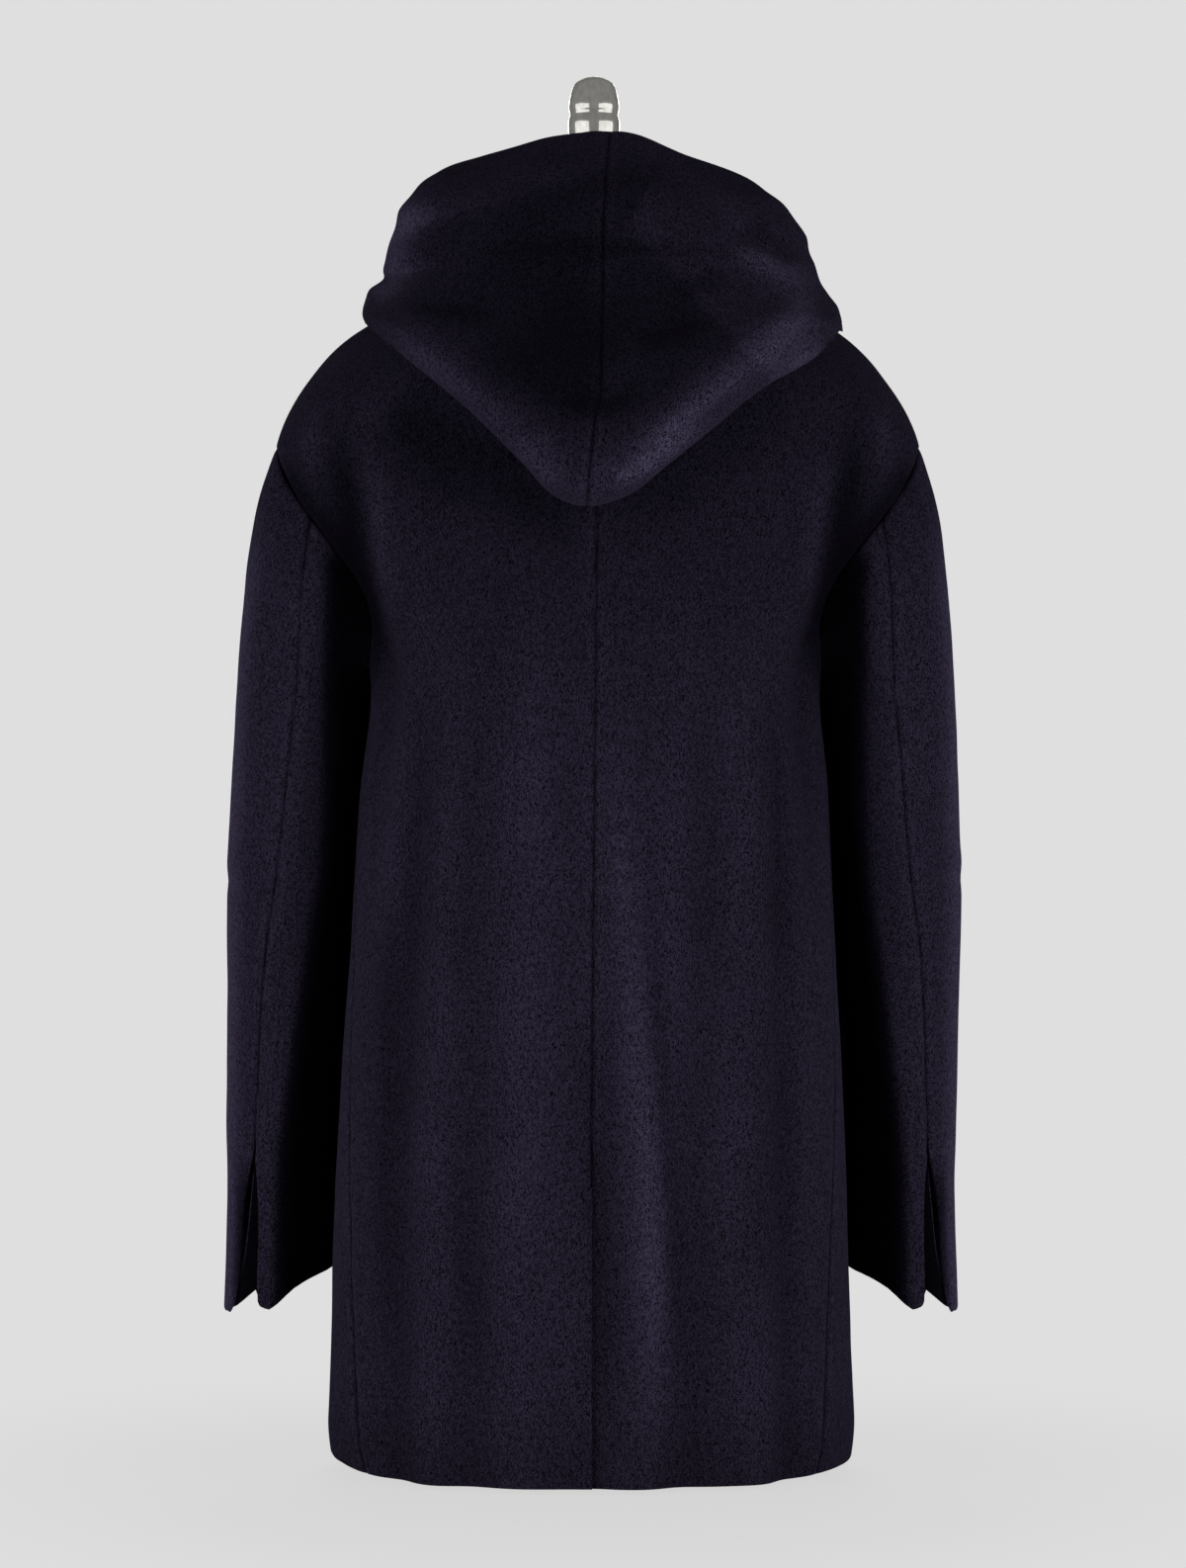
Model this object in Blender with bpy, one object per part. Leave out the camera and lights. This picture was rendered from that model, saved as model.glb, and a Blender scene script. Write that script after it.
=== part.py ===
"""A hooded wool overcoat on a dress form: its ten cloth pieces, its buttons, and the form and stand inside it."""

import math

import bpy
import numpy as np
from mathutils import Vector

# Metres. The wearer faces -Y, the wearer's left is +X, and the stand's foot is centred on the origin.
WALL = 0.0025  # heavy brushed wool
SEAM = 0.0003  # gap left between two pieces that are sewn together
LAP = 0.0012  # gap between two layers that lap
SQUARE_CORNER = math.pi / 2

# The coat's body, as rings. "up" counts these rows. Each gives where its ring crosses the side, the centre back and
# the centre front, and how blunt it is: 2 is an ellipse, and more is squarer.
BODY_COLUMNS = ("side_x", "side_z", "back_y", "back_z", "front_y", "front_z", "blunt")
BODY_ROWS = (
    (0.1925, 0.005, 0.1370, 0.005, -0.1350, 0.005, 2.20),  # 0 hem
    (0.1890, 0.102, 0.1335, 0.102, -0.1320, 0.102, 2.20),
    (0.1860, 0.200, 0.1300, 0.200, -0.1290, 0.200, 2.22),
    (0.1815, 0.298, 0.1260, 0.298, -0.1260, 0.298, 2.25),
    (0.1755, 0.396, 0.1215, 0.396, -0.1230, 0.396, 2.30),  # 4 waist
    (0.1700, 0.492, 0.1175, 0.492, -0.1210, 0.492, 2.35),
    (0.1650, 0.585, 0.1135, 0.590, -0.1190, 0.588, 2.40),  # 6 bottom of the armhole
    (0.2040, 0.664, 0.1080, 0.698, -0.1130, 0.684, 2.40),  # 7 middle of the armhole
    (0.2318, 0.743, 0.0980, 0.792, -0.1020, 0.765, 2.35),  # 8 shoulder point
    (0.2060, 0.796, 0.0860, 0.822, -0.0940, 0.787, 2.25),
    (0.1680, 0.830, 0.0760, 0.837, -0.0870, 0.799, 2.15),
    (0.1210, 0.850, 0.0670, 0.847, -0.0810, 0.807, 2.05),
    (0.0730, 0.868, 0.0590, 0.854, -0.0750, 0.814, 2.00),  # 12 neckline
)
ARMHOLE_BOTTOM = 6
ARMHOLE_MIDDLE = 7
SHOULDER_POINT = 8
NECKLINE = 12
ARMHOLE_STEPS = 10
PANEL_CROWDING = 1.4  # over 1, a panel's columns crowd toward the centre, where its layers lap
PANEL_LOW_UPS = (0, 1, 1.8, 2.0, 2.16, 2.4, 3, 4, 5, 5.85)  # close together at the vent's top
PANEL_HIGH_UPS = (8.6, 9.2, 10, 11, 12)
PANEL_COLUMNS = {"back": 12, "front": 13}
ARMHOLE_TURN = {"back": math.radians(27), "front": math.radians(30)}

# The whole coat hangs a little to one side: this moves it along X, by height.
LEAN_HEIGHTS = (0.20, 0.75)
LEAN_MOVES = (0.0022, -0.0026)

# Broad hanging folds: where each stands at the hem and at its top, in degrees from the centre back (the right half's
# are negative), how wide it is in degrees, how far it stands out, and the heights between which it fades at its top
# and at its foot.
FOLD_COLUMNS = ("hem_turn", "top_turn", "width", "depth", "fade_low", "fade_high", "foot_low", "foot_high")
FOLDS = (
    (13, 11, 8, 0.0040, 0.50, 0.72, -0.2, -0.1),
    (25, 24, 6, -0.0035, 0.30, 0.60, -0.2, -0.1),
    (34, 33, 7, 0.0040, 0.45, 0.66, -0.2, -0.1),
    (44, 46, 6, -0.0050, 0.40, 0.64, -0.2, -0.1),
    (64, 64, 9, -0.0070, 0.63, 0.71, 0.36, 0.56),
    (140, 138, 9, -0.0040, 0.35, 0.60, -0.2, -0.1),
    (-9, -20, 6, 0.0060, 0.45, 0.68, -0.2, -0.1),
    (-18, -30, 6, -0.0045, 0.30, 0.62, -0.2, -0.1),
    (-36, -38, 7, 0.0040, 0.45, 0.66, -0.2, -0.1),
    (-45, -47, 5, -0.0045, 0.40, 0.62, -0.2, -0.1),
    (-64, -64, 9, -0.0070, 0.63, 0.71, 0.36, 0.56),
    (-142, -140, 9, -0.0040, 0.35, 0.60, -0.2, -0.1),
)

# Side seam: degrees from the centre back at the hem and at the armhole.
SIDE_SEAM_TURN = (math.radians(57), SQUARE_CORNER)

# The vent's underlap: the heights between which it grows to its lap, how far from the centre its layer has stepped
# in, and how high above the vent that step fades. Near the centre back a turn is (x / scale) to the power of bend.
BACK_VENT = {"top": 0.216, "full": 0.180, "lap": 0.036, "step": 0.024, "fade": 0.035}
CENTRE_TURN = {"scale": 0.19, "bend": 1.11}
FRONT_LAP = {"reach": 0.032, "step_start": 0.070, "step_end": 0.042}

# The sleeve, as rings from the armhole to the cuff: where each crosses the outer and the inner side, its middle and
# half-width front to back, how much lower its back lies than its middle, and the degrees where its back seam stands.
SLEEVE_COLUMNS = ("outer_x", "outer_z", "inner_x", "inner_z", "mid_y", "half_y", "drop", "seam_turn")
SLEEVE_ROWS = (
    (0.2318, 0.743, 0.1650, 0.585, -0.002, 0.0540, 0.000, 90),  # armhole
    (0.2435, 0.706, 0.1705, 0.570, -0.003, 0.0600, 0.000, 97),
    (0.2515, 0.668, 0.1712, 0.553, -0.004, 0.0625, 0.000, 100),
    (0.2580, 0.608, 0.1716, 0.520, -0.006, 0.0620, 0.002, 98),
    (0.2625, 0.535, 0.1726, 0.470, -0.013, 0.0610, 0.003, 94),
    (0.2665, 0.435, 0.1752, 0.397, -0.024, 0.0590, 0.004, 90),  # elbow
    (0.2665, 0.349, 0.1792, 0.325, -0.034, 0.0560, 0.008, 86),
    (0.2660, 0.257, 0.1826, 0.250, -0.042, 0.0530, 0.012, 81),
    (0.2665, 0.196, 0.1844, 0.200, -0.046, 0.0510, 0.014, 77),
    (0.2670, 0.128, 0.1860, 0.142, -0.048, 0.0490, 0.016, 75),  # cuff
)
SLEEVE_RINGS = (0, 0.5, 1, 2, 3, 4, 5, 6, 7, 7.45, 7.9, 8.4, 8.8, 9)
TWISTED_SEAM = 0.0008  # the gap where the facets on both sides twist, which leaves about SEAM between them
SLEEVE_FRONT_SEAM = math.radians(262)
SLEEVE_SETTLES_BY = 3.0  # the ring by which the sleeve has lost the armhole's own shape
SLEEVE_CLEAR = 0.0005  # how far the sleeve's head stands off the armhole

# The cuff vent: how high it starts, how far round its two edges stand from the seam at the cuff and how fast they
# get there, and how far the underlap is set in, between which shares of the vent and columns of the piece.
CUFF_VENT = {"top": 0.230, "open": math.radians(41), "open_bend": 0.72, "lap": math.radians(24), "lap_bend": 2}
CUFF_INSET = {"depth": 0.0032, "shares": (0.05, 0.3), "columns": (1.6, 0.4)}
CUFF_CORNER = {"lift": 0.010, "reach": math.radians(20), "rings": (8.3, 9.0)}

# The hood, folded down, by degrees from the centre back at its neck seam: its rim, the outermost belly below it, the
# middle and radius of the roll that it hangs to, and the row and the degrees of the body where its under layer
# leaves the coat.
HOOD_COLUMNS = (
    "turn", "rim_x", "rim_y", "rim_z", "belly_x", "belly_y", "belly_z", "roll_x", "roll_y", "roll_z", "roll",
    "leave", "leave_turn",
)
HOOD_ROWS = (
    (0, 0.000, 0.046, 0.967, 0.000, 0.124, 0.850, 0.000, 0.136, 0.713, 0.020, 7.80, 0),
    (25, 0.056, 0.043, 0.962, 0.066, 0.120, 0.853, 0.050, 0.130, 0.748, 0.020, 8.10, 10),
    (50, 0.100, 0.030, 0.950, 0.124, 0.088, 0.862, 0.100, 0.106, 0.798, 0.020, 8.80, 26),
    (72, 0.122, 0.008, 0.937, 0.150, 0.046, 0.872, 0.138, 0.064, 0.832, 0.018, 9.50, 46),
    (90, 0.129, -0.018, 0.921, 0.155, 0.004, 0.880, 0.151, 0.018, 0.853, 0.016, 10.20, 78),
    (108, 0.117, -0.045, 0.900, 0.135, -0.036, 0.873, 0.130, -0.032, 0.856, 0.013, 10.50, 112),
    (128, 0.089, -0.070, 0.876, 0.102, -0.066, 0.860, 0.095, -0.062, 0.846, 0.011, 10.80, 132),
    (150, 0.050, -0.088, 0.854, 0.058, -0.090, 0.841, 0.052, -0.083, 0.830, 0.010, 11.10, 153),
    (176, 0.006, -0.095, 0.838, 0.007, -0.099, 0.828, 0.006, -0.092, 0.818, 0.009, 11.30, 177),
)
HOOD_WIDER = {"left": 0.99, "right": 1.05}
HOOD_LIFT = {"neck": 0.0010, "leave": 0.0060, "off": 0.0045}  # gap between the hood's under layer and the coat
HOOD_CROWN = (0.05, 0.010, 0.014)  # how far past halfway from rim to belly: a share of the belly's x, then Y and Z
HOOD_ROLL = ((0.98, -0.3), (0.75, 0.7), (0.0, 1.0), (-0.8, 0.5))  # round the roll: shares of its radius, out and down
HOOD_UNDER_PARTS = (0, 0.2, 0.4, 0.6, 0.8, 1)
HOOD_NECK_UP = 11.92  # the body's row where the hood meets the neckline
HOOD_NECK_POINTS = 4  # so many of a section's last points lie close to the coat
HOOD_SECTIONS = 13
HOOD_SECTION_POINTS = 19

BUTTON = {"radius": 0.0125, "thick": 0.0036, "rim": 0.0012, "gap": 0.0005, "sides": 16}
BUTTON_UPS = (3.55, 4.6, 5.65, 6.75)  # the body's rows that they are sewn at
BUTTON_DISH = 0.7  # its sunk face, as a share of its radius

# The dress form. Its shoulders follow the coat's inside, and below them these rows give its half-width and its depth.
FORM_GAP = 0.0006
FORM_COLUMNS = ("side_x", "side_z", "back_y", "back_z", "front_y", "front_z", "blunt")
FORM_LOWER_ROWS = (
    (0.1450, 0.180, 0.0930, 0.180, -0.0950, 0.180, 2.1),
    (0.1520, 0.190, 0.0980, 0.190, -0.1000, 0.190, 2.1),
    (0.1540, 0.270, 0.0990, 0.270, -0.1000, 0.270, 2.1),
    (0.1420, 0.370, 0.0880, 0.370, -0.0900, 0.370, 2.1),
    (0.1230, 0.470, 0.0740, 0.470, -0.0830, 0.470, 2.1),
    (0.1330, 0.560, 0.0780, 0.560, -0.0970, 0.560, 2.1),
    (0.1430, 0.650, 0.0840, 0.650, -0.1010, 0.650, 2.2),
    (0.1560, 0.730, 0.0850, 0.730, -0.0930, 0.715, 2.2),
    (0.1650, 0.785, 0.0800, 0.785, -0.0860, 0.762, 2.2),
)
FORM_SHOULDER_UPS = (10.0, 10.7, 11.4, 12.0)
FORM_NECK_ROWS = (
    (0.0590, 0.879, 0.0500, 0.872, -0.0600, 0.842, 2.0),
    (0.0510, 0.893, 0.0450, 0.890, -0.0530, 0.872, 2.0),
    (0.0480, 0.925, 0.0440, 0.925, -0.0500, 0.925, 2.0),
)
FORM_SIDES = 28

# The chrome neck cap, turned: radius and height of each step up its side.
NECK_CAP_TURNING = (
    (0.0455, 0.9253), (0.0460, 0.9290), (0.0440, 0.9330), (0.0330, 0.9400), (0.0190, 0.9470), (0.0150, 0.9520),
    (0.0140, 0.9580), (0.0145, 0.9650), (0.0162, 0.9690), (0.0174, 0.9730), (0.0178, 0.9770), (0.0174, 0.9805),
    (0.0162, 0.9830), (0.0157, 0.9840), (0.0164, 0.9852), (0.0175, 0.9880), (0.0177, 0.9905), (0.0172, 0.9935),
    (0.0165, 0.9950), (0.0168, 0.9965), (0.0170, 0.9990), (0.0164, 1.0035), (0.0148, 1.0075), (0.0118, 1.0102),
    (0.0070, 1.0116), (0.0030, 1.0120),
)
NECK_CAP_SIDES = 28

POLE = {"radius": 0.0125, "low": 0.0163, "high": 0.1797, "sides": 24}
BASE_TURNING = ((0.0970, 0.0), (0.1000, 0.0020), (0.1000, 0.0055), (0.0975, 0.0080), (0.0300, 0.0105), (0.0260, 0.0160))
BASE_SIDES = 36

MATERIALS = {
    "wool": ((0.018, 0.017, 0.042), 0.95, 0.0),
    "horn": ((0.020, 0.018, 0.024), 0.35, 0.0),
    "form_cloth": ((0.62, 0.58, 0.52), 0.85, 0.0),
    "chrome": ((0.80, 0.80, 0.82), 0.12, 1.0),
    "stand_paint": ((0.10, 0.10, 0.11), 0.45, 0.0),
}


def clear_scene():
    for item in list(bpy.data.objects):
        bpy.data.objects.remove(item)


def make_materials():
    made = {}
    for name, (colour, roughness, metallic) in MATERIALS.items():
        material = bpy.data.materials.new(name)
        material.use_nodes = True
        shader = material.node_tree.nodes["Principled BSDF"]
        shader.inputs["Base Color"].default_value = (*colour, 1)
        shader.inputs["Roughness"].default_value = roughness
        shader.inputs["Metallic"].default_value = metallic
        made[name] = material
    return made


def ease(value, start, end):
    """0 before start, 1 after end, and smooth between them; start may be the larger."""
    share = min(max((value - start) / (end - start), 0.0), 1.0)
    return share * share * (3 - 2 * share)


def table_row(rows, place):
    """The table's row at a place between its rows, on a smooth curve through them."""
    place = min(max(place, 0.0), len(rows) - 1.0)
    low = min(int(place), len(rows) - 2)
    share = place - low
    before, first, second, after = (
        np.array(rows[min(max(low + step, 0), len(rows) - 1)], float) for step in (-1, 0, 1, 2)
    )
    leave = (second - before) / 2
    arrive = (after - first) / 2
    return (
        first * (1 + 2 * share) * (1 - share) ** 2
        + leave * share * (1 - share) ** 2
        + second * share**2 * (3 - 2 * share)
        + arrive * share**2 * (share - 1)
    )


def named_row(columns, rows, place):
    return dict(zip(columns, table_row(rows, place)))


def signed_power(value, power):
    return math.copysign(abs(value) ** power, value)


def ring_point(row, turn):
    """A point of a ring whose crossings a row gives. turn is 0 at the centre back and a quarter turn at the side."""
    power = 2 / row["blunt"]
    across = math.sin(turn)
    along = math.cos(turn)
    far = "back" if along > 0 else "front"
    depth = abs(row[far + "_y"]) * signed_power(along, power)
    height = row["side_z"] + (row[far + "_z"] - row["side_z"]) * along**2
    return np.array((row["side_x"] * signed_power(across, power), depth, height))


def fold_depth(side, turn, height):
    """How far the folds stand out of the plain body at a turn on one half."""
    degrees = math.degrees(turn) * (1 if side == "left" else -1)
    total = 0.0
    for values in FOLDS:
        fold = dict(zip(FOLD_COLUMNS, values))
        centre = fold["hem_turn"] + (fold["top_turn"] - fold["hem_turn"]) * min(height / fold["fade_high"], 1.0)
        away = (degrees - centre + 180) % 360 - 180
        bell = math.exp(-((away / fold["width"]) ** 2))
        top = ease(height, fold["fade_high"], fold["fade_low"])
        foot = ease(height, fold["foot_low"], fold["foot_high"])
        total += fold["depth"] * bell * top * foot
    return total


def body_point(side, turn, up):
    row = named_row(BODY_COLUMNS, BODY_ROWS, up)
    point = ring_point(row, turn)
    out = np.array((math.sin(turn) / row["side_x"], math.cos(turn) / abs(row["back_y"]), 0.0))
    return point + out / np.linalg.norm(out) * fold_depth(side, turn, point[2])


def outward(surface, first, second, step=0.01):
    """The unit normal of surface(first, second), from its differences along both."""
    along_first = surface(first + step, second) - surface(first - step, second)
    along_second = surface(first, second + step) - surface(first, second - step)
    normal = np.cross(along_second, along_first)
    return normal / np.linalg.norm(normal)


def lean(point):
    return np.array((np.interp(point[2], LEAN_HEIGHTS, LEAN_MOVES), 0.0, 0.0))


def placed(side, point):
    """A point worked out for the left half, put on its own side and leaned with the coat."""
    sign = 1 if side == "left" else -1
    return point * np.array((sign, 1, 1)) + lean(point)


def wall(name, side, outer, inner, material):
    """One cloth piece: a closed wall between two grids of points, with the same rows and columns."""
    rows = len(outer)
    columns = len(outer[0])
    points = [placed(side, point) for grid in (outer, inner) for line in grid for point in line]

    def at(layer, row, column):
        return layer * rows * columns + row * columns + column

    faces = []
    for row in range(rows - 1):
        for column in range(columns - 1):
            corners = ((row, column), (row + 1, column), (row + 1, column + 1), (row, column + 1))
            faces.append([at(0, *corner) for corner in corners])
            faces.append([at(1, *corner) for corner in reversed(corners)])
    rim = [(0, column) for column in range(columns - 1)]
    rim += [(row, columns - 1) for row in range(rows - 1)]
    rim += [(rows - 1, column) for column in range(columns - 1, 0, -1)]
    rim += [(row, 0) for row in range(rows - 1, 0, -1)]
    for start, end in zip(rim, rim[1:] + rim[:1]):
        faces.append([at(0, *start), at(0, *end), at(1, *end), at(1, *start)])
    if side == "right":
        faces = [face[::-1] for face in faces]
    return mesh_object(name, points, faces, material)


def mesh_object(name, points, faces, material):
    mesh = bpy.data.meshes.new(name)
    mesh.from_pydata([tuple(point) for point in points], [], faces)
    mesh.update()
    mesh.materials.append(material)
    mesh.shade_smooth()
    mesh.set_sharp_from_angle(angle=math.radians(40))
    made = bpy.data.objects.new(name, mesh)
    bpy.context.scene.collection.objects.link(made)
    return made


def loft(name, rings, material):
    """A closed solid through rings of points, each with as many, from the lowest to the highest."""
    count = len(rings[0])
    points = [point for ring in rings for point in ring]
    faces = [list(range(count))[::-1], [(len(rings) - 1) * count + step for step in range(count)]]
    for level in range(len(rings) - 1):
        for step in range(count):
            after = (step + 1) % count
            low = level * count
            faces.append([low + step, low + after, low + count + after, low + count + step])
    return mesh_object(name, points, faces, material)


def turned(name, profile, sides, material):
    rings = []
    for radius, height in profile:
        turns = (2 * math.pi * step / sides for step in range(sides))
        rings.append([(radius * math.cos(turn), radius * math.sin(turn), height) for turn in turns])
    return loft(name, rings, material)


def armhole(side, round_turn):
    """A point of the armhole's edge. round_turn is 0 on top and a quarter turn at the back."""
    half = "back" if math.sin(round_turn) > 0 else "front"
    turn = SQUARE_CORNER - ARMHOLE_TURN[half] * math.sin(round_turn)
    return body_point(side, turn, ARMHOLE_MIDDLE + math.cos(round_turn))


def armhole_inward(round_turn):
    """Which way the wall is thick at the armhole, where the body and the sleeve meet edge to edge."""
    high = math.cos(round_turn)
    way = np.array((-0.2 - 0.6 * max(high, 0.0), -0.97 * math.sin(round_turn), -0.55 * high if high > 0 else -high))
    return way / np.linalg.norm(way)


def panel_ups():
    """The rows of a body panel: below the armhole, the armhole's own steps, and up to the neck."""
    steps = [ARMHOLE_MIDDLE - math.cos(math.pi * step / ARMHOLE_STEPS) for step in range(ARMHOLE_STEPS + 1)]
    return [*PANEL_LOW_UPS, *steps, *PANEL_HIGH_UPS]


def side_edge(up, half):
    """Where a panel's side edge stands, as a turn: the side seam, the armhole's edge, or the shoulder seam."""
    if up < ARMHOLE_BOTTOM:
        share = up / ARMHOLE_BOTTOM
        return SIDE_SEAM_TURN[0] + (SIDE_SEAM_TURN[1] - SIDE_SEAM_TURN[0]) * share
    if up > SHOULDER_POINT:
        return SQUARE_CORNER
    reach = math.sqrt(max(1 - (up - ARMHOLE_MIDDLE) ** 2, 0.0))
    return SQUARE_CORNER - (1 if half == "back" else -1) * ARMHOLE_TURN[half] * reach


def panel_grids(side, half, ups, columns, centre_edge, push):
    """Outer and inner points of a back or a front. push gives how far each point is moved inward, as under a lap."""

    def surface(turn, up):
        return body_point(side, turn, up)

    outer = []
    inner = []
    for up in ups:
        edge = side_edge(up, half)
        centre = centre_edge(up)
        outer_line = []
        inner_line = []
        for column in range(columns):
            turn = centre + (edge - centre) * (column / (columns - 1)) ** PANEL_CROWDING
            inward = -outward(surface, turn, up)
            point = surface(turn, up)
            point = point + inward * push(point)
            thick = inward
            if column == columns - 1:
                tangent = surface(turn + 0.01, up) - surface(turn - 0.01, up)
                sign = -1 if half == "back" else 1
                point = point + sign * tangent / np.linalg.norm(tangent) * TWISTED_SEAM / 2
                if ARMHOLE_BOTTOM <= up <= SHOULDER_POINT:
                    round_turn = math.acos(min(max(up - ARMHOLE_MIDDLE, -1.0), 1.0))
                    thick = armhole_inward(round_turn if half == "back" else -round_turn)
            outer_line.append(point)
            inner_line.append(point + thick * WALL)
        outer.append(outer_line)
        inner.append(inner_line)
    return outer, inner


def no_push(_point):
    return 0.0


def build_backs(wool):
    half_gap = np.array((SEAM / 2, 0, 0))

    def underlap_edge(up):
        height = named_row(BODY_COLUMNS, BODY_ROWS, up)["back_z"]
        reach = BACK_VENT["lap"] * ease(height, BACK_VENT["top"], BACK_VENT["full"])
        return -((reach / CENTRE_TURN["scale"]) ** CENTRE_TURN["bend"])

    def underlap_push(point):
        near = ease(point[0], BACK_VENT["step"], 0.001)
        low = ease(point[2], BACK_VENT["top"] + BACK_VENT["fade"], BACK_VENT["top"] + 0.002)
        return (WALL + LAP) * near * low

    for side, edge, push in (("left", lambda up: 0.0, no_push), ("right", underlap_edge, underlap_push)):
        outer, inner = panel_grids(side, "back", panel_ups(), PANEL_COLUMNS["back"], edge, push)
        outer = [[point + half_gap for point in line] for line in outer]
        inner = [[point + half_gap for point in line] for line in inner]
        wall("back_" + side, side, outer, inner, wool)


def build_fronts(wool):
    def lap_edge(up):
        row = named_row(BODY_COLUMNS, BODY_ROWS, up)
        return math.pi + (FRONT_LAP["reach"] / row["side_x"]) ** (row["blunt"] / 2)

    def under_push(point):
        share = ease(point[0], FRONT_LAP["step_start"], FRONT_LAP["step_end"]) if point[1] < 0 else 0.0
        return (WALL + LAP) * share

    for side, push in (("left", under_push), ("right", no_push)):
        outer, inner = panel_grids(side, "front", panel_ups(), PANEL_COLUMNS["front"], lap_edge, push)
        wall("front_" + side, side, inner, outer, wool)


def sleeve_row(place):
    return named_row(SLEEVE_COLUMNS, SLEEVE_ROWS, place)


def sleeve_oval(row, round_turn):
    middle = np.array((row["outer_x"] + row["inner_x"], 0, row["outer_z"] + row["inner_z"])) / 2
    reach = np.array((row["outer_x"] - row["inner_x"], 0, row["outer_z"] - row["inner_z"])) / 2
    depth = np.array((0, row["mid_y"] + row["half_y"] * math.sin(round_turn), -row["drop"] * math.sin(round_turn)))
    return middle + reach * math.cos(round_turn) + depth


def sleeve_point(side, round_turn, place):
    """A point of the sleeve. Its first ring is the armhole's own edge, whose shape fades out down the sleeve."""
    own_shape = armhole(side, round_turn) - sleeve_oval(sleeve_row(0), round_turn)
    keep = max(1 - max(place, 0.0) / SLEEVE_SETTLES_BY, 0.0) ** 2
    return sleeve_oval(sleeve_row(place), round_turn) + own_shape * keep


def armhole_axis(side):
    """Away from the body, square to the armhole."""
    top = armhole(side, 0.0)
    bottom = armhole(side, math.pi)
    back = armhole(side, SQUARE_CORNER)
    front = armhole(side, -SQUARE_CORNER)
    axis = np.cross(back - front, top - bottom)
    return axis / np.linalg.norm(axis)


def sleeve_grids(side, turns_at, push_at, lift_at):
    """Outer and inner points of a sleeve piece, whose columns stand at turns_at(place)."""

    def surface(round_turn, place):
        return sleeve_point(side, round_turn, place)

    clear = armhole_axis(side) * SLEEVE_CLEAR
    outer = []
    inner = []
    for place in SLEEVE_RINGS:
        outer_line = []
        inner_line = []
        for column, (round_turn, shift) in enumerate(turns_at(place)):
            inward = -outward(surface, round_turn, max(place, 0.02))
            point = surface(round_turn, place)
            tangent = surface(round_turn + 0.01, place) - surface(round_turn - 0.01, place)
            point = point + tangent / np.linalg.norm(tangent) * shift
            point = point + inward * push_at(column, place) + np.array((0, 0, lift_at(round_turn, place)))
            if place == 0:
                point = point + clear
                inward = armhole_inward(round_turn)
            outer_line.append(point)
            inner_line.append(point + inward * WALL)
        outer.append(outer_line)
        inner.append(inner_line)
    return outer, inner


def vent_share(place):
    """0 at the top of the cuff vent and 1 at the cuff."""
    row = sleeve_row(place)
    height = (row["outer_z"] + row["inner_z"]) / 2 - row["drop"]
    low = sleeve_row(len(SLEEVE_ROWS) - 1)
    bottom = (low["outer_z"] + low["inner_z"]) / 2 - low["drop"]
    return min(max((CUFF_VENT["top"] - height) / (CUFF_VENT["top"] - bottom), 0.0), 1.0)


def spread(start, end, count, first_shift, last_shift):
    turns = [start + (end - start) * step / (count - 1) for step in range(count)]
    shifts = [first_shift] + [0.0] * (count - 2) + [last_shift]
    return list(zip(turns, shifts))


def build_sleeve(side, wool):
    around = 2 * ARMHOLE_STEPS
    half = around // 2 + 1

    def seams(place):
        share = min(place, 1.0)
        front = math.radians(270) + (SLEEVE_FRONT_SEAM - math.radians(270)) * share
        return math.radians(sleeve_row(place)["seam_turn"]), front

    def top_turns(place):
        back, front = seams(place)
        edge = back - CUFF_VENT["open"] * vent_share(place) ** CUFF_VENT["open_bend"]
        return spread(front - 2 * math.pi, edge, half, TWISTED_SEAM / 2, -TWISTED_SEAM / 2)

    def under_turns(place):
        back, front = seams(place)
        edge = back - CUFF_VENT["lap"] * vent_share(place) ** CUFF_VENT["lap_bend"]
        return spread(edge, front, half, TWISTED_SEAM / 2, -TWISTED_SEAM / 2)

    def under_push(column, place):
        share = ease(vent_share(place), *CUFF_INSET["shares"])
        return CUFF_INSET["depth"] * share * ease(column, *CUFF_INSET["columns"])

    def corner_lift(edge_turn):
        def lift(round_turn, place):
            near = max(1 - abs(round_turn - edge_turn) / CUFF_CORNER["reach"], 0.0)
            return CUFF_CORNER["lift"] * near**2 * ease(place, *CUFF_CORNER["rings"])

        return lift

    last = len(SLEEVE_ROWS) - 1
    corner = corner_lift(top_turns(last)[-1][0])
    outer, inner = sleeve_grids(side, top_turns, lambda column, place: 0.0, corner)
    wall("top_sleeve_" + side, side, outer, inner, wool)
    outer, inner = sleeve_grids(side, under_turns, under_push, lambda turn, place: 0.0)
    wall("under_sleeve_" + side, side, outer, inner, wool)


def body_samples(side):
    """Points all over one half of the body from the armhole's middle up, with the way out of the cloth at each."""

    def surface(turn, up):
        return body_point(side, turn, up)

    ups = np.linspace(ARMHOLE_MIDDLE, NECKLINE, 41)
    places = [(turn, up) for turn in np.linspace(0.0, math.pi, 61) for up in ups]
    points = np.array([surface(*place) for place in places])
    return points, np.array([outward(surface, *place) for place in places])


def kept_off(point, samples, gap):
    """The point, moved out where it would lie nearer to the body's cloth than the gap."""
    points, ways_out = samples
    nearest = np.argmin(np.linalg.norm(points - point, axis=1))
    clear = np.dot(point - points[nearest], ways_out[nearest])
    return point + ways_out[nearest] * max(gap - clear, 0.0)


def through(points, count):
    """As many points as count, evenly spaced along a smooth curve through the given ones."""
    fine = [table_row(points, place) for place in np.linspace(0, len(points) - 1, 12 * len(points))]
    lengths = [0.0]
    for start, end in zip(fine, fine[1:]):
        lengths.append(lengths[-1] + np.linalg.norm(end - start))
    wanted = np.linspace(0, lengths[-1], count)
    axes = np.array(fine).T
    return [np.array([np.interp(at, lengths, axis) for axis in axes]) for at in wanted]


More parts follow.
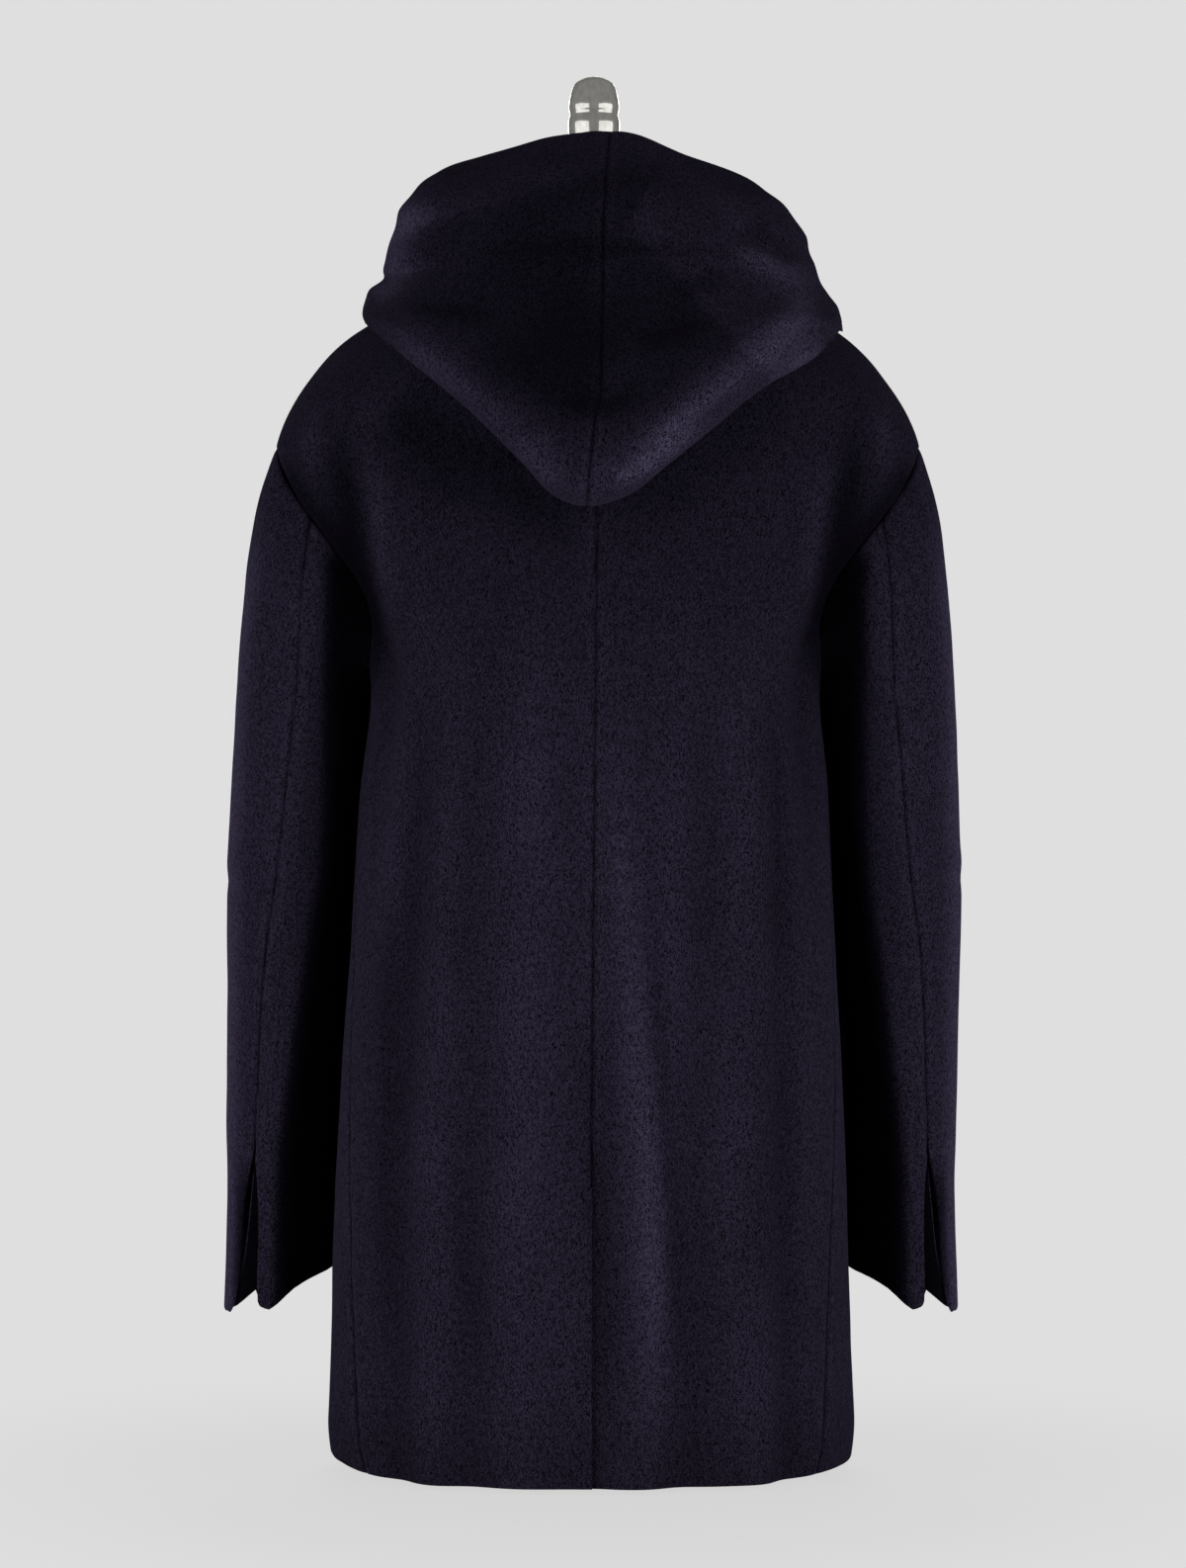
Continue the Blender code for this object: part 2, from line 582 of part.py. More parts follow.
def hood_section(side, share, samples):
    """One section of the hood, from its rim over the fold and back under it to the neckline."""
    row = named_row(HOOD_COLUMNS, HOOD_ROWS, share * (len(HOOD_ROWS) - 1))
    wide = np.array((HOOD_WIDER[side], 1, 1))
    rim, belly, middle = (
        np.array([row[part + axis] for axis in ("_x", "_y", "_z")]) * wide for part in ("rim", "belly", "roll")
    )
    out = np.array((middle[0], middle[1], 0.0)) / math.hypot(middle[0], middle[1]) * row["roll"]
    down = np.array((0.0, 0.0, -row["roll"]))

    def surface(first, second):
        return body_point(side, first, second)

    under = []
    for part in HOOD_UNDER_PARTS:
        up = row["leave"] + (HOOD_NECK_UP - row["leave"]) * part
        turn = math.radians(row["leave_turn"] + (row["turn"] - row["leave_turn"]) * part)
        lift = HOOD_LIFT["leave"] + (HOOD_LIFT["neck"] - HOOD_LIFT["leave"]) * part
        under.append(surface(turn, up) + outward(surface, turn, up) * lift)
    crown = (rim + belly) / 2 + np.array((belly[0], 1, 1)) * HOOD_CROWN
    roll = [middle + out * outs + down * downs for outs, downs in HOOD_ROLL]
    section = through([rim, crown, belly, *roll, *under], HOOD_SECTION_POINTS)
    gaps = [HOOD_LIFT["off"]] * (HOOD_SECTION_POINTS - HOOD_NECK_POINTS) + [HOOD_LIFT["neck"]] * HOOD_NECK_POINTS
    return [kept_off(point, samples, gap) for point, gap in zip(section, gaps)]


def build_hood(side, wool):
    shares = [step / (HOOD_SECTIONS - 1) for step in range(HOOD_SECTIONS)]
    samples = body_samples(side)
    sections = [hood_section(side, share, samples) for share in shares]
    outer = []
    inner = []
    for number, section in enumerate(sections):
        before = sections[max(number - 1, 0)]
        after = sections[min(number + 1, HOOD_SECTIONS - 1)]
        outer_line = []
        inner_line = []
        for place, point in enumerate(section):
            along = section[min(place + 1, len(section) - 1)] - section[max(place - 1, 0)]
            across = after[place] - before[place]
            normal = np.cross(along, across)
            if number == 0:
                normal[0] = 0.0
            point = point + np.array((SEAM / 2, 0, 0))
            outer_line.append(point)
            inner_line.append(point + normal / np.linalg.norm(normal) * WALL)
        outer.append(outer_line)
        inner.append(inner_line)
    wall("hood_" + side, side, outer, inner, wool)


def build_buttons(horn):
    radius = BUTTON["radius"]
    thick = BUTTON["thick"]
    rim = BUTTON["rim"]
    profile = [(radius - rim, 0), (radius, rim), (radius, thick - rim), (radius - rim, thick)]
    profile.append((radius * BUTTON_DISH, thick - rim))

    def surface(turn, up):
        return body_point("right", turn, up)

    for number, up in enumerate(BUTTON_UPS, start=1):
        out = outward(surface, math.pi, up)
        seat = surface(math.pi, up)
        button = turned(f"button_{number}", profile, BUTTON["sides"], horn)
        button.location = seat + lean(seat) + out * BUTTON["gap"]
        button.rotation_euler = Vector(out).to_track_quat("Z", "Y").to_euler()


def build_form(cloth):
    rows = [dict(zip(FORM_COLUMNS, values)) for values in FORM_LOWER_ROWS]
    turns = [2 * math.pi * step / FORM_SIDES for step in range(FORM_SIDES)]
    rings = [[ring_point(row, -turn) for turn in turns] for row in rows]

    def inside(turn, up):
        side = "left" if math.sin(turn) >= 0 else "right"
        short_turn = math.acos(math.cos(turn))

        def surface(first, second):
            return body_point(side, first, second)

        point = surface(short_turn, up) - outward(surface, short_turn, up) * (WALL + LAP + WALL + FORM_GAP)
        return placed(side, point)

    for up in FORM_SHOULDER_UPS:
        rings.append([inside(-turn, up) for turn in turns])
    for values in FORM_NECK_ROWS:
        row = dict(zip(FORM_COLUMNS, values))
        rings.append([ring_point(row, -turn) for turn in turns])
    loft("form_torso", rings, cloth)


def main():
    clear_scene()
    made = make_materials()
    build_backs(made["wool"])
    build_fronts(made["wool"])
    for side in ("left", "right"):
        build_sleeve(side, made["wool"])
        build_hood(side, made["wool"])
    build_buttons(made["horn"])
    build_form(made["form_cloth"])
    turned("neck_cap", NECK_CAP_TURNING, NECK_CAP_SIDES, made["chrome"])
    pole = ((POLE["radius"], POLE["low"]), (POLE["radius"], POLE["high"]))
    turned("pole", pole, POLE["sides"], made["stand_paint"])
    turned("base", BASE_TURNING, BASE_SIDES, made["stand_paint"])


main()
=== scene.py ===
import math
from functools import partial

import bmesh
import bpy
import numpy as np
from mathutils import Matrix, Vector, noise
from mathutils.kdtree import KDTree


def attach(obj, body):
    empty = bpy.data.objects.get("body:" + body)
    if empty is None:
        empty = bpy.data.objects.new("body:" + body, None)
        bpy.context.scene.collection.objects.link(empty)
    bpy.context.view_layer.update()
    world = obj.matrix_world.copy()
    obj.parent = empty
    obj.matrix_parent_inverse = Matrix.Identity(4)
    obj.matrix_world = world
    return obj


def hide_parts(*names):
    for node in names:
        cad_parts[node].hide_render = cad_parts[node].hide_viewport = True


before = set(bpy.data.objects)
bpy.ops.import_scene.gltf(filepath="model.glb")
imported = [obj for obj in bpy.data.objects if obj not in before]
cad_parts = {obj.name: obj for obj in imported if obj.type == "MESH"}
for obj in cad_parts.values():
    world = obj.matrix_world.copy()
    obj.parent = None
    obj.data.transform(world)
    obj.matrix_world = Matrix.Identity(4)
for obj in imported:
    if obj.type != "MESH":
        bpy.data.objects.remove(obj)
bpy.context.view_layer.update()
quarter = math.pi / 2
print("frame loaded")


# numbers and small helpers that every cloth piece shares

cloth = {
    "wall": 0.0025,  # thickness of the wool
    "seamGap": -0.0001,  # between two pieces sewn together
    "lapGap": 0.0012,  # between two layers that lap
    "roundEdge": 0.0012,  # how far a turned edge bulges
    "ventEdge": 0.00072,  # and the flatter edge of the back vent
    "seamDip": 0.0013,  # how deep a seam sinks
    "seamReach": 0.0024,  # and how far to each side
    "allowance": 0.0004,  # the low swell of the seam's allowance beside it
    "swell": (0.0085, 0.0060),  # how far from the seam that swell lies, and how wide it is
    "innerTone": 0.8,  # how light the inner face is beside the outer
    "seamPaintedShade": 1.15,  # how dark the painted shade along the seam's line is
    "seamLine": 0.0010,
    "seamPaintedHighlight": 0.16,  # a painted highlight a little beside it
    "paintedHighlightBand": (0.0045, 0.0022),  # where, and how wide
    "pucker": 0.012,  # size of the seam's unevenness
    "turnIn": 8,  # rows over which the wall turns into an armhole's edge
    "uneven": ((0.050, 0.5, 0.0006, 0), (0.019, 0.6, 0.00022, 3.7)),  # size, squeeze, height, shift of each wave
}
strokeSteps = 36  # points along a stroke
seamLooks = {  # how deep each seam is, and how dark its painted shade
    "side": (0.7, 0.75),
    "centreBack": (0.5, 0.8),
    "sleeve": (0.9, 0.7),
    "armhole": (0.4, 1.0),
    "hood": (0.45, 0.95),
}


def ease(value, start, end):
    share = np.clip((value - start) / (end - start), 0, 1)
    return share * share * (3 - 2 * share)


def rowAt(rows, place):  # a smooth curve through a table's rows
    rows = np.asarray(rows, float)
    place = np.clip(np.asarray(place, float), 0, len(rows) - 1)
    low = np.minimum(place.astype(int), len(rows) - 2)
    share = (place - low)[..., None]
    before, first, second, after = (rows[np.clip(low + step, 0, len(rows) - 1)] for step in (-1, 0, 1, 2))
    leave = (second - before) / 2
    arrive = (after - first) / 2
    return (
        first * (1 + 2 * share) * (1 - share) ** 2
        + leave * share * (1 - share) ** 2
        + second * share**2 * (3 - 2 * share)
        + arrive * share**2 * (share - 1)
    )


def unit(vectors):
    return vectors / np.maximum(np.linalg.norm(vectors, axis=-1, keepdims=True), 1e-12)


def normalsOf(surface, first, second, step=0.01):
    alongFirst = surface(first + step, second) - surface(first - step, second)
    alongSecond = surface(first, second + step) - surface(first, second - step)
    return unit(np.cross(alongSecond, alongFirst))


def gridNormals(grid):  # points the same way as normalsOf for a grid of rows by columns
    return unit(np.cross(np.gradient(grid, axis=0), np.gradient(grid, axis=1)))


def inwardOf(outer, out):  # the way through the cloth from its outer face
    inward = -gridNormals(outer)
    return inward * np.sign(np.sum(inward * -out, axis=-1, keepdims=True))


def treeOf(points):
    tree = KDTree(len(points))
    for number, point in enumerate(points):
        tree.insert(point, number)
    tree.balance()
    return tree


def nearTo(points, line):  # distance of each point of a grid to a line of points
    tree = treeOf(line)
    flat = points.reshape(-1, 3)
    return np.array([tree.find(point)[2] for point in flat]).reshape(points.shape[:-1])


# soft ridges and troughs, or painted light and shade: how much paler or darker the cloth is painted. Each row of a
# table says how much, how wide in millimetres, how soon the ends fade, and the X and Z of its path in millimetres
def strokes(x, z, table):
    total = np.zeros_like(x)
    for height, width, fade, *path in table:
        width, path = width / 1000, np.array(path) / 1000
        fine = rowAt(path, np.linspace(0, len(path) - 1, strokeSteps))
        along = np.linspace(0, 1, strokeSteps)
        taper = np.minimum(ease(along, 0, fade), ease(1 - along, 0, fade))
        best = np.full(x.shape, 1e9)
        share = np.zeros_like(x)
        for (atX, atZ), full in zip(fine, taper):
            away = (x - atX) ** 2 + (z - atZ) ** 2
            nearer = away < best
            best = np.where(nearer, away, best)
            share = np.where(nearer, full, share)
        total += height * share * np.exp(-best / width**2)
    return total


def crumple(points, size, squeeze=1.0):  # a smooth uneven field, about -1 to 1
    flat = points.reshape(-1, 3) / size
    flat = flat * (1, 1, squeeze)
    return np.array([noise.noise(point) for point in flat]).reshape(points.shape[:-1]) * 1.6


def uneven(world, waves):
    return sum(crumple(world + shift, size, squeeze) * height for size, squeeze, height, shift in waves)


def softTable(table, places, soft=0.10, steps=9):  # a table's second column by its first, its corners rounded
    first, second = np.array(table).T
    return np.mean([np.interp(places + step, first, second) for step in np.linspace(-soft, soft, steps)], axis=0)


lean = {"heights": (0.20, 0.75), "moves": (0.0022, -0.0026)}  # the whole coat hangs a little to one side


def placed(side, points):  # from the left half's numbers to its own side
    moved = points * (1 if side == "left" else -1, 1, 1)
    moved[..., 0] += np.interp(moved[..., 2], lean["heights"], lean["moves"])
    return moved


def meshPiece(name, points, faces, material, tones):
    mesh = bpy.data.meshes.new(name)
    mesh.from_pydata(points.tolist(), [], faces)
    mesh.update()
    corners = points[np.array(faces)]
    volume = np.einsum("ij,ij->i", corners[:, 0], np.cross(corners[:, 1], corners[:, 2])).sum()
    volume += np.einsum("ij,ij->i", corners[:, 0], np.cross(corners[:, 2], corners[:, 3])).sum()
    if volume < 0:
        mesh.flip_normals()
    mesh.shade_smooth()
    # each point's painted light and shade, which the wool multiplies into its colour
    mesh.attributes.new("paintedLightAndShade", "FLOAT", "POINT").data.foreach_set("value", tones)
    mesh.materials.append(material)
    piece = bpy.data.objects.new(name, mesh)
    bpy.context.scene.collection.objects.link(piece)
    return piece


def clothPiece(name, side, outer, inner, rounds, material, tone):
    # rounds: how far the edge bulges at the first row, last column, last row and first column
    outer = placed(side, outer)
    inner = placed(side, inner)
    rows, columns = outer.shape[:2]
    index = np.arange(rows * columns).reshape(rows, columns)
    quads = np.stack([index[:-1, :-1], index[1:, :-1], index[1:, 1:], index[:-1, 1:]], -1)
    quads = quads.reshape(-1, 4)
    faces = [quads, quads[:, ::-1] + rows * columns]
    away = np.zeros_like(outer)
    middle = (outer + inner) / 2
    for amount, edge, inside in (
        (rounds[0], np.s_[0, :], np.s_[1, :]),
        (rounds[1], np.s_[:, -1], np.s_[:, -2]),
        (rounds[2], np.s_[-1, :], np.s_[-2, :]),
        (rounds[3], np.s_[:, 0], np.s_[:, 1]),
    ):
        away[edge] += unit(middle[edge] - middle[inside]) * np.asarray(amount)[..., None]
    rim = [(0, c) for c in range(columns - 1)] + [(r, columns - 1) for r in range(rows - 1)]
    rim += [(rows - 1, c) for c in range(columns - 1, 0, -1)] + [(r, 0) for r in range(rows - 1, 0, -1)]
    rimRows, rimColumns = np.array(rim).T
    ring = index[rimRows, rimColumns]
    points = [outer.reshape(-1, 3), inner.reshape(-1, 3)]
    tones = [tone.reshape(-1), tone.reshape(-1) * cloth["innerTone"]] + [tone[rimRows, rimColumns]] * 3
    core, bulge = middle[rimRows, rimColumns], away[rimRows, rimColumns]
    half = (outer - inner)[rimRows, rimColumns] / 2
    loops = [ring]
    start = 2 * rows * columns
    for angle in (45, 90, 135):
        turn = math.radians(angle)
        points.append(core + half * math.cos(turn) + bulge * math.sin(turn))
        loops.append(np.arange(start, start + len(ring)))
        start += len(ring)
    loops.append(ring + rows * columns)
    for near, far in zip(loops, loops[1:]):
        faces.append(np.stack([near, np.roll(near, -1), np.roll(far, -1), far], -1))
    faces = np.concatenate(faces).tolist()
    return meshPiece(name, np.concatenate(points), faces, material, np.concatenate(tones))


def spacing(count, start=0.04, end=0.04):  # columns, closer together toward both edges
    dense = np.array([0, 0.04, 0.10, 0.18, 0.28, 0.40, 0.55, 0.75])
    return np.concatenate([dense * start, np.linspace(start, 1 - end, count), 1 - dense[::-1] * end])


def addNode(nodes, kind, **settings):
    node = nodes.new("ShaderNode" + kind)
    for name, value in settings.items():
        setattr(node, name, value)
    return node


def setInputs(node, values):
    for name, value in values.items():
        node.inputs[name].default_value = value


def newGroup(name, inputs, outputs):
    group = bpy.data.node_groups.new(name, "ShaderNodeTree")
    for socket, value in inputs.items():
        made = group.interface.new_socket(name=socket, in_out="INPUT", socket_type="NodeSocketFloat")
        made.default_value = value
    for socket in outputs:
        group.interface.new_socket(name=socket, in_out="OUTPUT", socket_type="NodeSocketFloat")
    enter = group.nodes.new("NodeGroupInput")
    leave = group.nodes.new("NodeGroupOutput")
    return group, enter, leave


def stretchedPlace(nodes, links, along):  # the object's own coordinates, drawn out along Z
    place = addNode(nodes, "TexCoord")
    squeeze = addNode(nodes, "CombineXYZ")
    setInputs(squeeze, {"X": 1, "Y": 1})
    links.new(along, squeeze.inputs["Z"])
    laid = addNode(nodes, "VectorMath", operation="MULTIPLY")
    links.new(place.outputs["Object"], laid.inputs[0])
    links.new(squeeze.outputs[0], laid.inputs[1])
    return laid.outputs[0]


brushedPile = {
    "scales": {"tuft": 1200.0, "clump": 460.0, "patch": 24.0, "stretch": 0.42},
    "fields": {"tuft": (3, 0.62, 1.4), "clump": (2, 0.6, 1.1), "patch": (2, 0.5, 0.4)},  # detail, roughness, twist
    "clumpedTone": 0.12,
    "clumpedHeight": 0.3,
    "toneEdges": (0.41, 0.58),
    "patchEdges": (0.3, 0.7),
    "patchShare": 0.07,
}


def makeNapGroup():  # brushed pile: how light each tuft is, and how high it stands
    group, enter, leave = newGroup("brushedNap", brushedPile["scales"], ("tone", "height", "patches"))
    nodes, links = group.nodes, group.links
    laid = stretchedPlace(nodes, links, enter.outputs["stretch"])
    fields = {}
    for name, (detail, rough, twist) in brushedPile["fields"].items():
        field = addNode(nodes, "TexNoise")
        setInputs(field, {"Detail": detail, "Roughness": rough, "Distortion": twist})
        links.new(laid, field.inputs["Vector"])
        links.new(enter.outputs[name], field.inputs["Scale"])
        fields[name] = field.outputs["Fac"]

    def pileMixed(share):
        node = addNode(nodes, "Mix", data_type="FLOAT")
        node.inputs["Factor"].default_value = share
        links.new(fields["tuft"], node.inputs["A"])
        links.new(fields["clump"], node.inputs["B"])
        return node.outputs["Result"]

    def sharpened(value, edges):
        node = addNode(nodes, "MapRange", interpolation_type="SMOOTHSTEP")
        node.inputs["From Min"].default_value, node.inputs["From Max"].default_value = edges
        links.new(value, node.inputs["Value"])
        return node.outputs["Result"]

    tone = sharpened(pileMixed(brushedPile["clumpedTone"]), brushedPile["toneEdges"])
    links.new(tone, leave.inputs["tone"])
    links.new(pileMixed(brushedPile["clumpedHeight"]), leave.inputs["height"])
    links.new(sharpened(fields["patch"], brushedPile["patchEdges"]), leave.inputs["patches"])
    return group


def makeGrainGroup():  # an even speckle, for paint, horn and brushed metal
    group, enter, leave = newGroup("fineGrain", {"scale": 300.0, "along": 1.0}, ("grain",))
    nodes, links = group.nodes, group.links
    laid = stretchedPlace(nodes, links, enter.outputs["along"])
    field = addNode(nodes, "TexNoise")
    field.inputs["Detail"].default_value = 4
    links.new(laid, field.inputs["Vector"])
    links.new(enter.outputs["scale"], field.inputs["Scale"])
    links.new(field.outputs["Fac"], leave.inputs["grain"])
    return group


napGroup = makeNapGroup()
grainGroup = makeGrainGroup()

finishes = {
    "navyWool": {
        "dark": (0.0017, 0.0014, 0.0029), "light": (0.0230, 0.0188, 0.0352), "rough": 0.95,
        "sheen": 0.03, "sheenRough": 0.5, "tint": (0.62, 0.52, 0.85), "bump": 0.55, "lift": 0.0011,
    },
    "formJersey": {
        "low": (0.50, 0.47, 0.42), "high": (0.66, 0.62, 0.56), "rough": 0.85, "scale": 900, "bump": 0.2,
    },
    "darkHorn": {
        "low": (0.006, 0.0055, 0.008), "high": (0.020, 0.0175, 0.021), "rough": 0.42, "scale": 160,
        "bump": 0.05, "specular": 0.2,
    },
    "chrome": {
        "low": (0.17, 0.167, 0.155), "high": (0.33, 0.325, 0.308), "rough": 0.12, "scale": 260, "bump": 0.05,
        "metallic": 1.0, "along": 0.6, "edge": (0.50, 0.48, 0.44),  # its edge mirrors less than bare metal
    },
    "buttonThread": {
        "low": (0.010, 0.009, 0.018), "high": (0.025, 0.022, 0.040), "rough": 0.9, "scale": 2400, "bump": 0.3,
    },
    "standPaint": {
        "low": (0.085, 0.085, 0.095), "high": (0.115, 0.115, 0.125), "rough": 0.42, "scale": 700, "bump": 0.08,
    },
}
plainFinish = {"metallic": 0.0, "along": 1.0, "specular": 0.5, "edge": (1, 1, 1), "lift": 0.0004}


def startMaterial(name):
    material = bpy.data.materials.new(name)
    material.use_nodes = True
    return material, material.node_tree.nodes, material.node_tree.links, material.node_tree.nodes["Principled BSDF"]


def colourBetween(nodes, links, low, high, share):
    mix = addNode(nodes, "Mix", data_type="RGBA")
    setInputs(mix, {6: (*low, 1), 7: (*high, 1)})
    links.new(share, mix.inputs["Factor"])
    return mix.outputs[2]


def multiplied(nodes, links, base, other, share):
    mix = addNode(nodes, "Mix", data_type="RGBA", blend_type="MULTIPLY")
    mix.inputs["Factor"].default_value = share
    links.new(base, mix.inputs[6])
    links.new(other, mix.inputs[7])
    return mix.outputs[2]


def addBump(nodes, links, look, height, shader):
    bump = addNode(nodes, "Bump")
    setInputs(bump, {"Strength": look["bump"], "Distance": look["lift"]})
    links.new(height, bump.inputs["Height"])
    links.new(bump.outputs["Normal"], shader.inputs["Normal"])


def makeWool():
    look = finishes["navyWool"]
    material, nodes, links, shader = startMaterial("navyWool")
    nap = addNode(nodes, "Group")
    nap.node_tree = napGroup
    base = colourBetween(nodes, links, look["dark"], look["light"], nap.outputs["tone"])
    shade = multiplied(nodes, links, base, nap.outputs["patches"], brushedPile["patchShare"])
    # multiply in each piece's painted light and shade
    laid = addNode(nodes, "Attribute")
    laid.attribute_name = "paintedLightAndShade"
    toned = multiplied(nodes, links, shade, laid.outputs["Fac"], 1)
    links.new(toned, shader.inputs["Base Color"])
    addBump(nodes, links, look, nap.outputs["height"], shader)
    setInputs(shader, {
        "Roughness": look["rough"],
        "Specular IOR Level": 0.0,
        "Sheen Weight": look["sheen"],
        "Sheen Roughness": look["sheenRough"],
        "Sheen Tint": (*look["tint"], 1),
    })
    return material


def makeGrained(name):
    look = {**plainFinish, **finishes[name]}
    material, nodes, links, shader = startMaterial(name)
    grain = addNode(nodes, "Group")
    grain.node_tree = grainGroup
    setInputs(grain, {"scale": look["scale"], "along": look["along"]})
    colour = colourBetween(nodes, links, look["low"], look["high"], grain.outputs["grain"])
    links.new(colour, shader.inputs["Base Color"])
    addBump(nodes, links, look, grain.outputs["grain"], shader)
    setInputs(shader, {
        "Roughness": look["rough"],
        "Metallic": look["metallic"],
        "Specular IOR Level": look["specular"],
        "Specular Tint": (*look["edge"], 1),
    })
    return material


wool = makeWool()
horn = makeGrained("darkHorn")
formJersey = makeGrained("formJersey")
chrome = makeGrained("chrome")
standPaint = makeGrained("standPaint")
buttonThread = makeGrained("buttonThread")
print("materials made")


# the coat's body
bodyShape = {
    # sideX, sideZ, backY, backZ, frontY, frontZ, blunt; one row for each ring, from the hem up to the neckline
    "rings": (
        (0.1925, 0.005, 0.1370, 0.005, -0.1350, 0.005, 2.20),
        (0.1890, 0.102, 0.1335, 0.102, -0.1320, 0.102, 2.20),
        (0.1860, 0.200, 0.1300, 0.200, -0.1290, 0.200, 2.22),
        (0.1815, 0.298, 0.1260, 0.298, -0.1260, 0.298, 2.25),
        (0.1755, 0.396, 0.1215, 0.396, -0.1230, 0.396, 2.30),
        (0.1700, 0.492, 0.1175, 0.492, -0.1210, 0.492, 2.35),
        (0.1650, 0.585, 0.1135, 0.590, -0.1190, 0.588, 2.40),
        (0.2040, 0.664, 0.1080, 0.698, -0.1130, 0.684, 2.40),
        (0.2342, 0.743, 0.0980, 0.792, -0.1020, 0.765, 2.35),
        (0.2060, 0.796, 0.0860, 0.822, -0.0940, 0.787, 2.25),
        (0.1680, 0.830, 0.0760, 0.837, -0.0870, 0.799, 2.15),
        (0.1210, 0.850, 0.0670, 0.847, -0.0810, 0.807, 2.05),
        (0.0730, 0.868, 0.0590, 0.854, -0.0750, 0.814, 2.00),
    ),
    "armhole": (6, 7, 8),  # rings at its bottom, middle and top
    "armholeTurn": {"back": math.radians(27), "front": math.radians(30)},
    "armholeTop": 0.58,  # how much flatter the back of its upper half runs
    "shoulderFall": 0.017,  # how much sooner the shoulder line falls away above the armhole
    "sideSeam": (math.radians(57), quarter),  # at the hem and at the armhole
    # hem turn, top turn, width, depth, and the heights between which it fades at its top and foot
    "folds": (
        (13, 11, 8, 0.0040, 0.50, 0.72, -0.2, -0.1),
        (25, 24, 6, -0.0035, 0.30, 0.60, -0.2, -0.1),
        (34, 33, 7, 0.0040, 0.45, 0.66, -0.2, -0.1),
        (44, 46, 6, -0.0050, 0.40, 0.64, -0.2, -0.1),
        (64, 64, 9, -0.0070, 0.63, 0.71, 0.36, 0.56),
        (140, 138, 9, -0.0040, 0.35, 0.60, -0.2, -0.1),
        (-9, -20, 6, 0.0060, 0.45, 0.68, -0.2, -0.1),
        (-18, -30, 6, -0.0045, 0.30, 0.62, -0.2, -0.1),
        (-36, -38, 7, 0.0040, 0.45, 0.66, -0.2, -0.1),
        (-45, -47, 5, -0.0045, 0.40, 0.62, -0.2, -0.1),
        (-64, -64, 9, -0.0070, 0.63, 0.71, 0.36, 0.56),
        (-142, -140, 9, -0.0040, 0.35, 0.60, -0.2, -0.1),
    ),
}


def ringPoint(rings, turn, up):
    sideX, sideZ, backY, backZ, frontY, frontZ, blunt = np.moveaxis(rowAt(rings, up), -1, 0)
    across = np.sin(turn)
    along = np.cos(turn)
    farY = np.where(along > 0, backY, -frontY)
    farZ = np.where(along > 0, backZ, frontZ)
    x = sideX * np.sign(across) * np.abs(across) ** (2 / blunt)
    y = farY * np.sign(along) * np.abs(along) ** (2 / blunt)
    return np.stack([x, y, sideZ + (farZ - sideZ) * along**2], -1), sideX, backY


def foldDepth(side, turn, height):
    degrees = np.degrees(turn) * (1 if side == "left" else -1)
    total = np.zeros_like(height)
    for hemTurn, topTurn, width, depth, fadeLow, fadeHigh, footLow, footHigh in bodyShape["folds"]:
        centre = hemTurn + (topTurn - hemTurn) * np.minimum(height / fadeHigh, 1)
        away = (degrees - centre + 180) % 360 - 180
        bell = np.exp(-((away / width) ** 2))
        total += depth * bell * ease(height, fadeHigh, fadeLow) * ease(height, footLow, footHigh)
    return total


def bodyPoint(side, turn, up):
    turn, up = np.broadcast_arrays(np.asarray(turn, float), np.asarray(up, float))
    point, sideX, backY = ringPoint(bodyShape["rings"], turn, up)
    share = np.clip(up - bodyShape["armhole"][2], 0, 1)
    point[..., 0] -= bodyShape["shoulderFall"] * share * (1 - share) ** 2 * np.sin(turn) ** 2
    out = unit(np.stack([np.sin(turn) / sideX, np.cos(turn) / backY, np.zeros_like(turn)], -1))
    return point + out * foldDepth(side, turn, point[..., 2])[..., None]


def flatter(high):  # the back of the armhole runs straighter over its upper half
    return 1 - bodyShape["armholeTop"] * ease(high, -0.7, 1.0)


def sideEdge(up, half):
    bottom, middle, top = bodyShape["armhole"]
    first, last = bodyShape["sideSeam"]
    low = first + (last - first) * up / bottom
    reach = np.sqrt(np.maximum(1 - (up - middle) ** 2, 0))
    if half == "back":
        reach = reach * flatter(up - middle)
    hole = quarter - (1 if half == "back" else -1) * bodyShape["armholeTurn"][half] * reach
    return np.where(up < bottom, low, np.where(up > top, quarter, hole))


def armholeInward(roundTurn):
    high = np.cos(roundTurn)
    x = -0.2 - 0.6 * np.maximum(high, 0)
    z = np.where(high > 0, -0.55 * high, -high)
    return unit(np.stack([x, -0.97 * np.sin(roundTurn), z], -1))


def armhole(side, roundTurn):
    turns = bodyShape["armholeTurn"]
    lap = np.where(np.sin(roundTurn) > 0, turns["back"] * flatter(np.cos(roundTurn)), turns["front"])
    return bodyPoint(side, quarter - lap * np.sin(roundTurn), bodyShape["armhole"][1] + np.cos(roundTurn))


hemShape = {
    # turn in degrees and how far the hem rises there, on each side
    "left": ((40, 0), (52, 0.002), (60, 0.0038), (70, 0.0068), (90, 0.0100), (112, 0.0070), (135, 0.002), (160, 0)),
    "right": ((40, 0), (52, 0.0018), (60, 0.003), (70, 0.0045), (90, 0.0060), (112, 0.0045), (135, 0.002), (160, 0)),
    "height": 0.005,
    "fade": 0.075,  # how high above the hem that is felt
    "curl": 0.0030,  # how far the cloth turns in at its lowest edge
    "curlHeight": 0.030,
}


def hemmed(side, turn, points):
    above = points[..., 2] - hemShape["height"]
    degrees, rises = np.array(hemShape[side]).T
    rise = np.interp(np.degrees(np.abs(turn)), degrees, rises)
    points = points.copy()
    points[..., 2] += rise * ease(above, hemShape["fade"], 0)
    flat = unit(points * (1, 1, 0))
    return points - flat * (hemShape["curl"] * np.clip(1 - above / hemShape["curlHeight"], 0, 1) ** 2)[..., None]


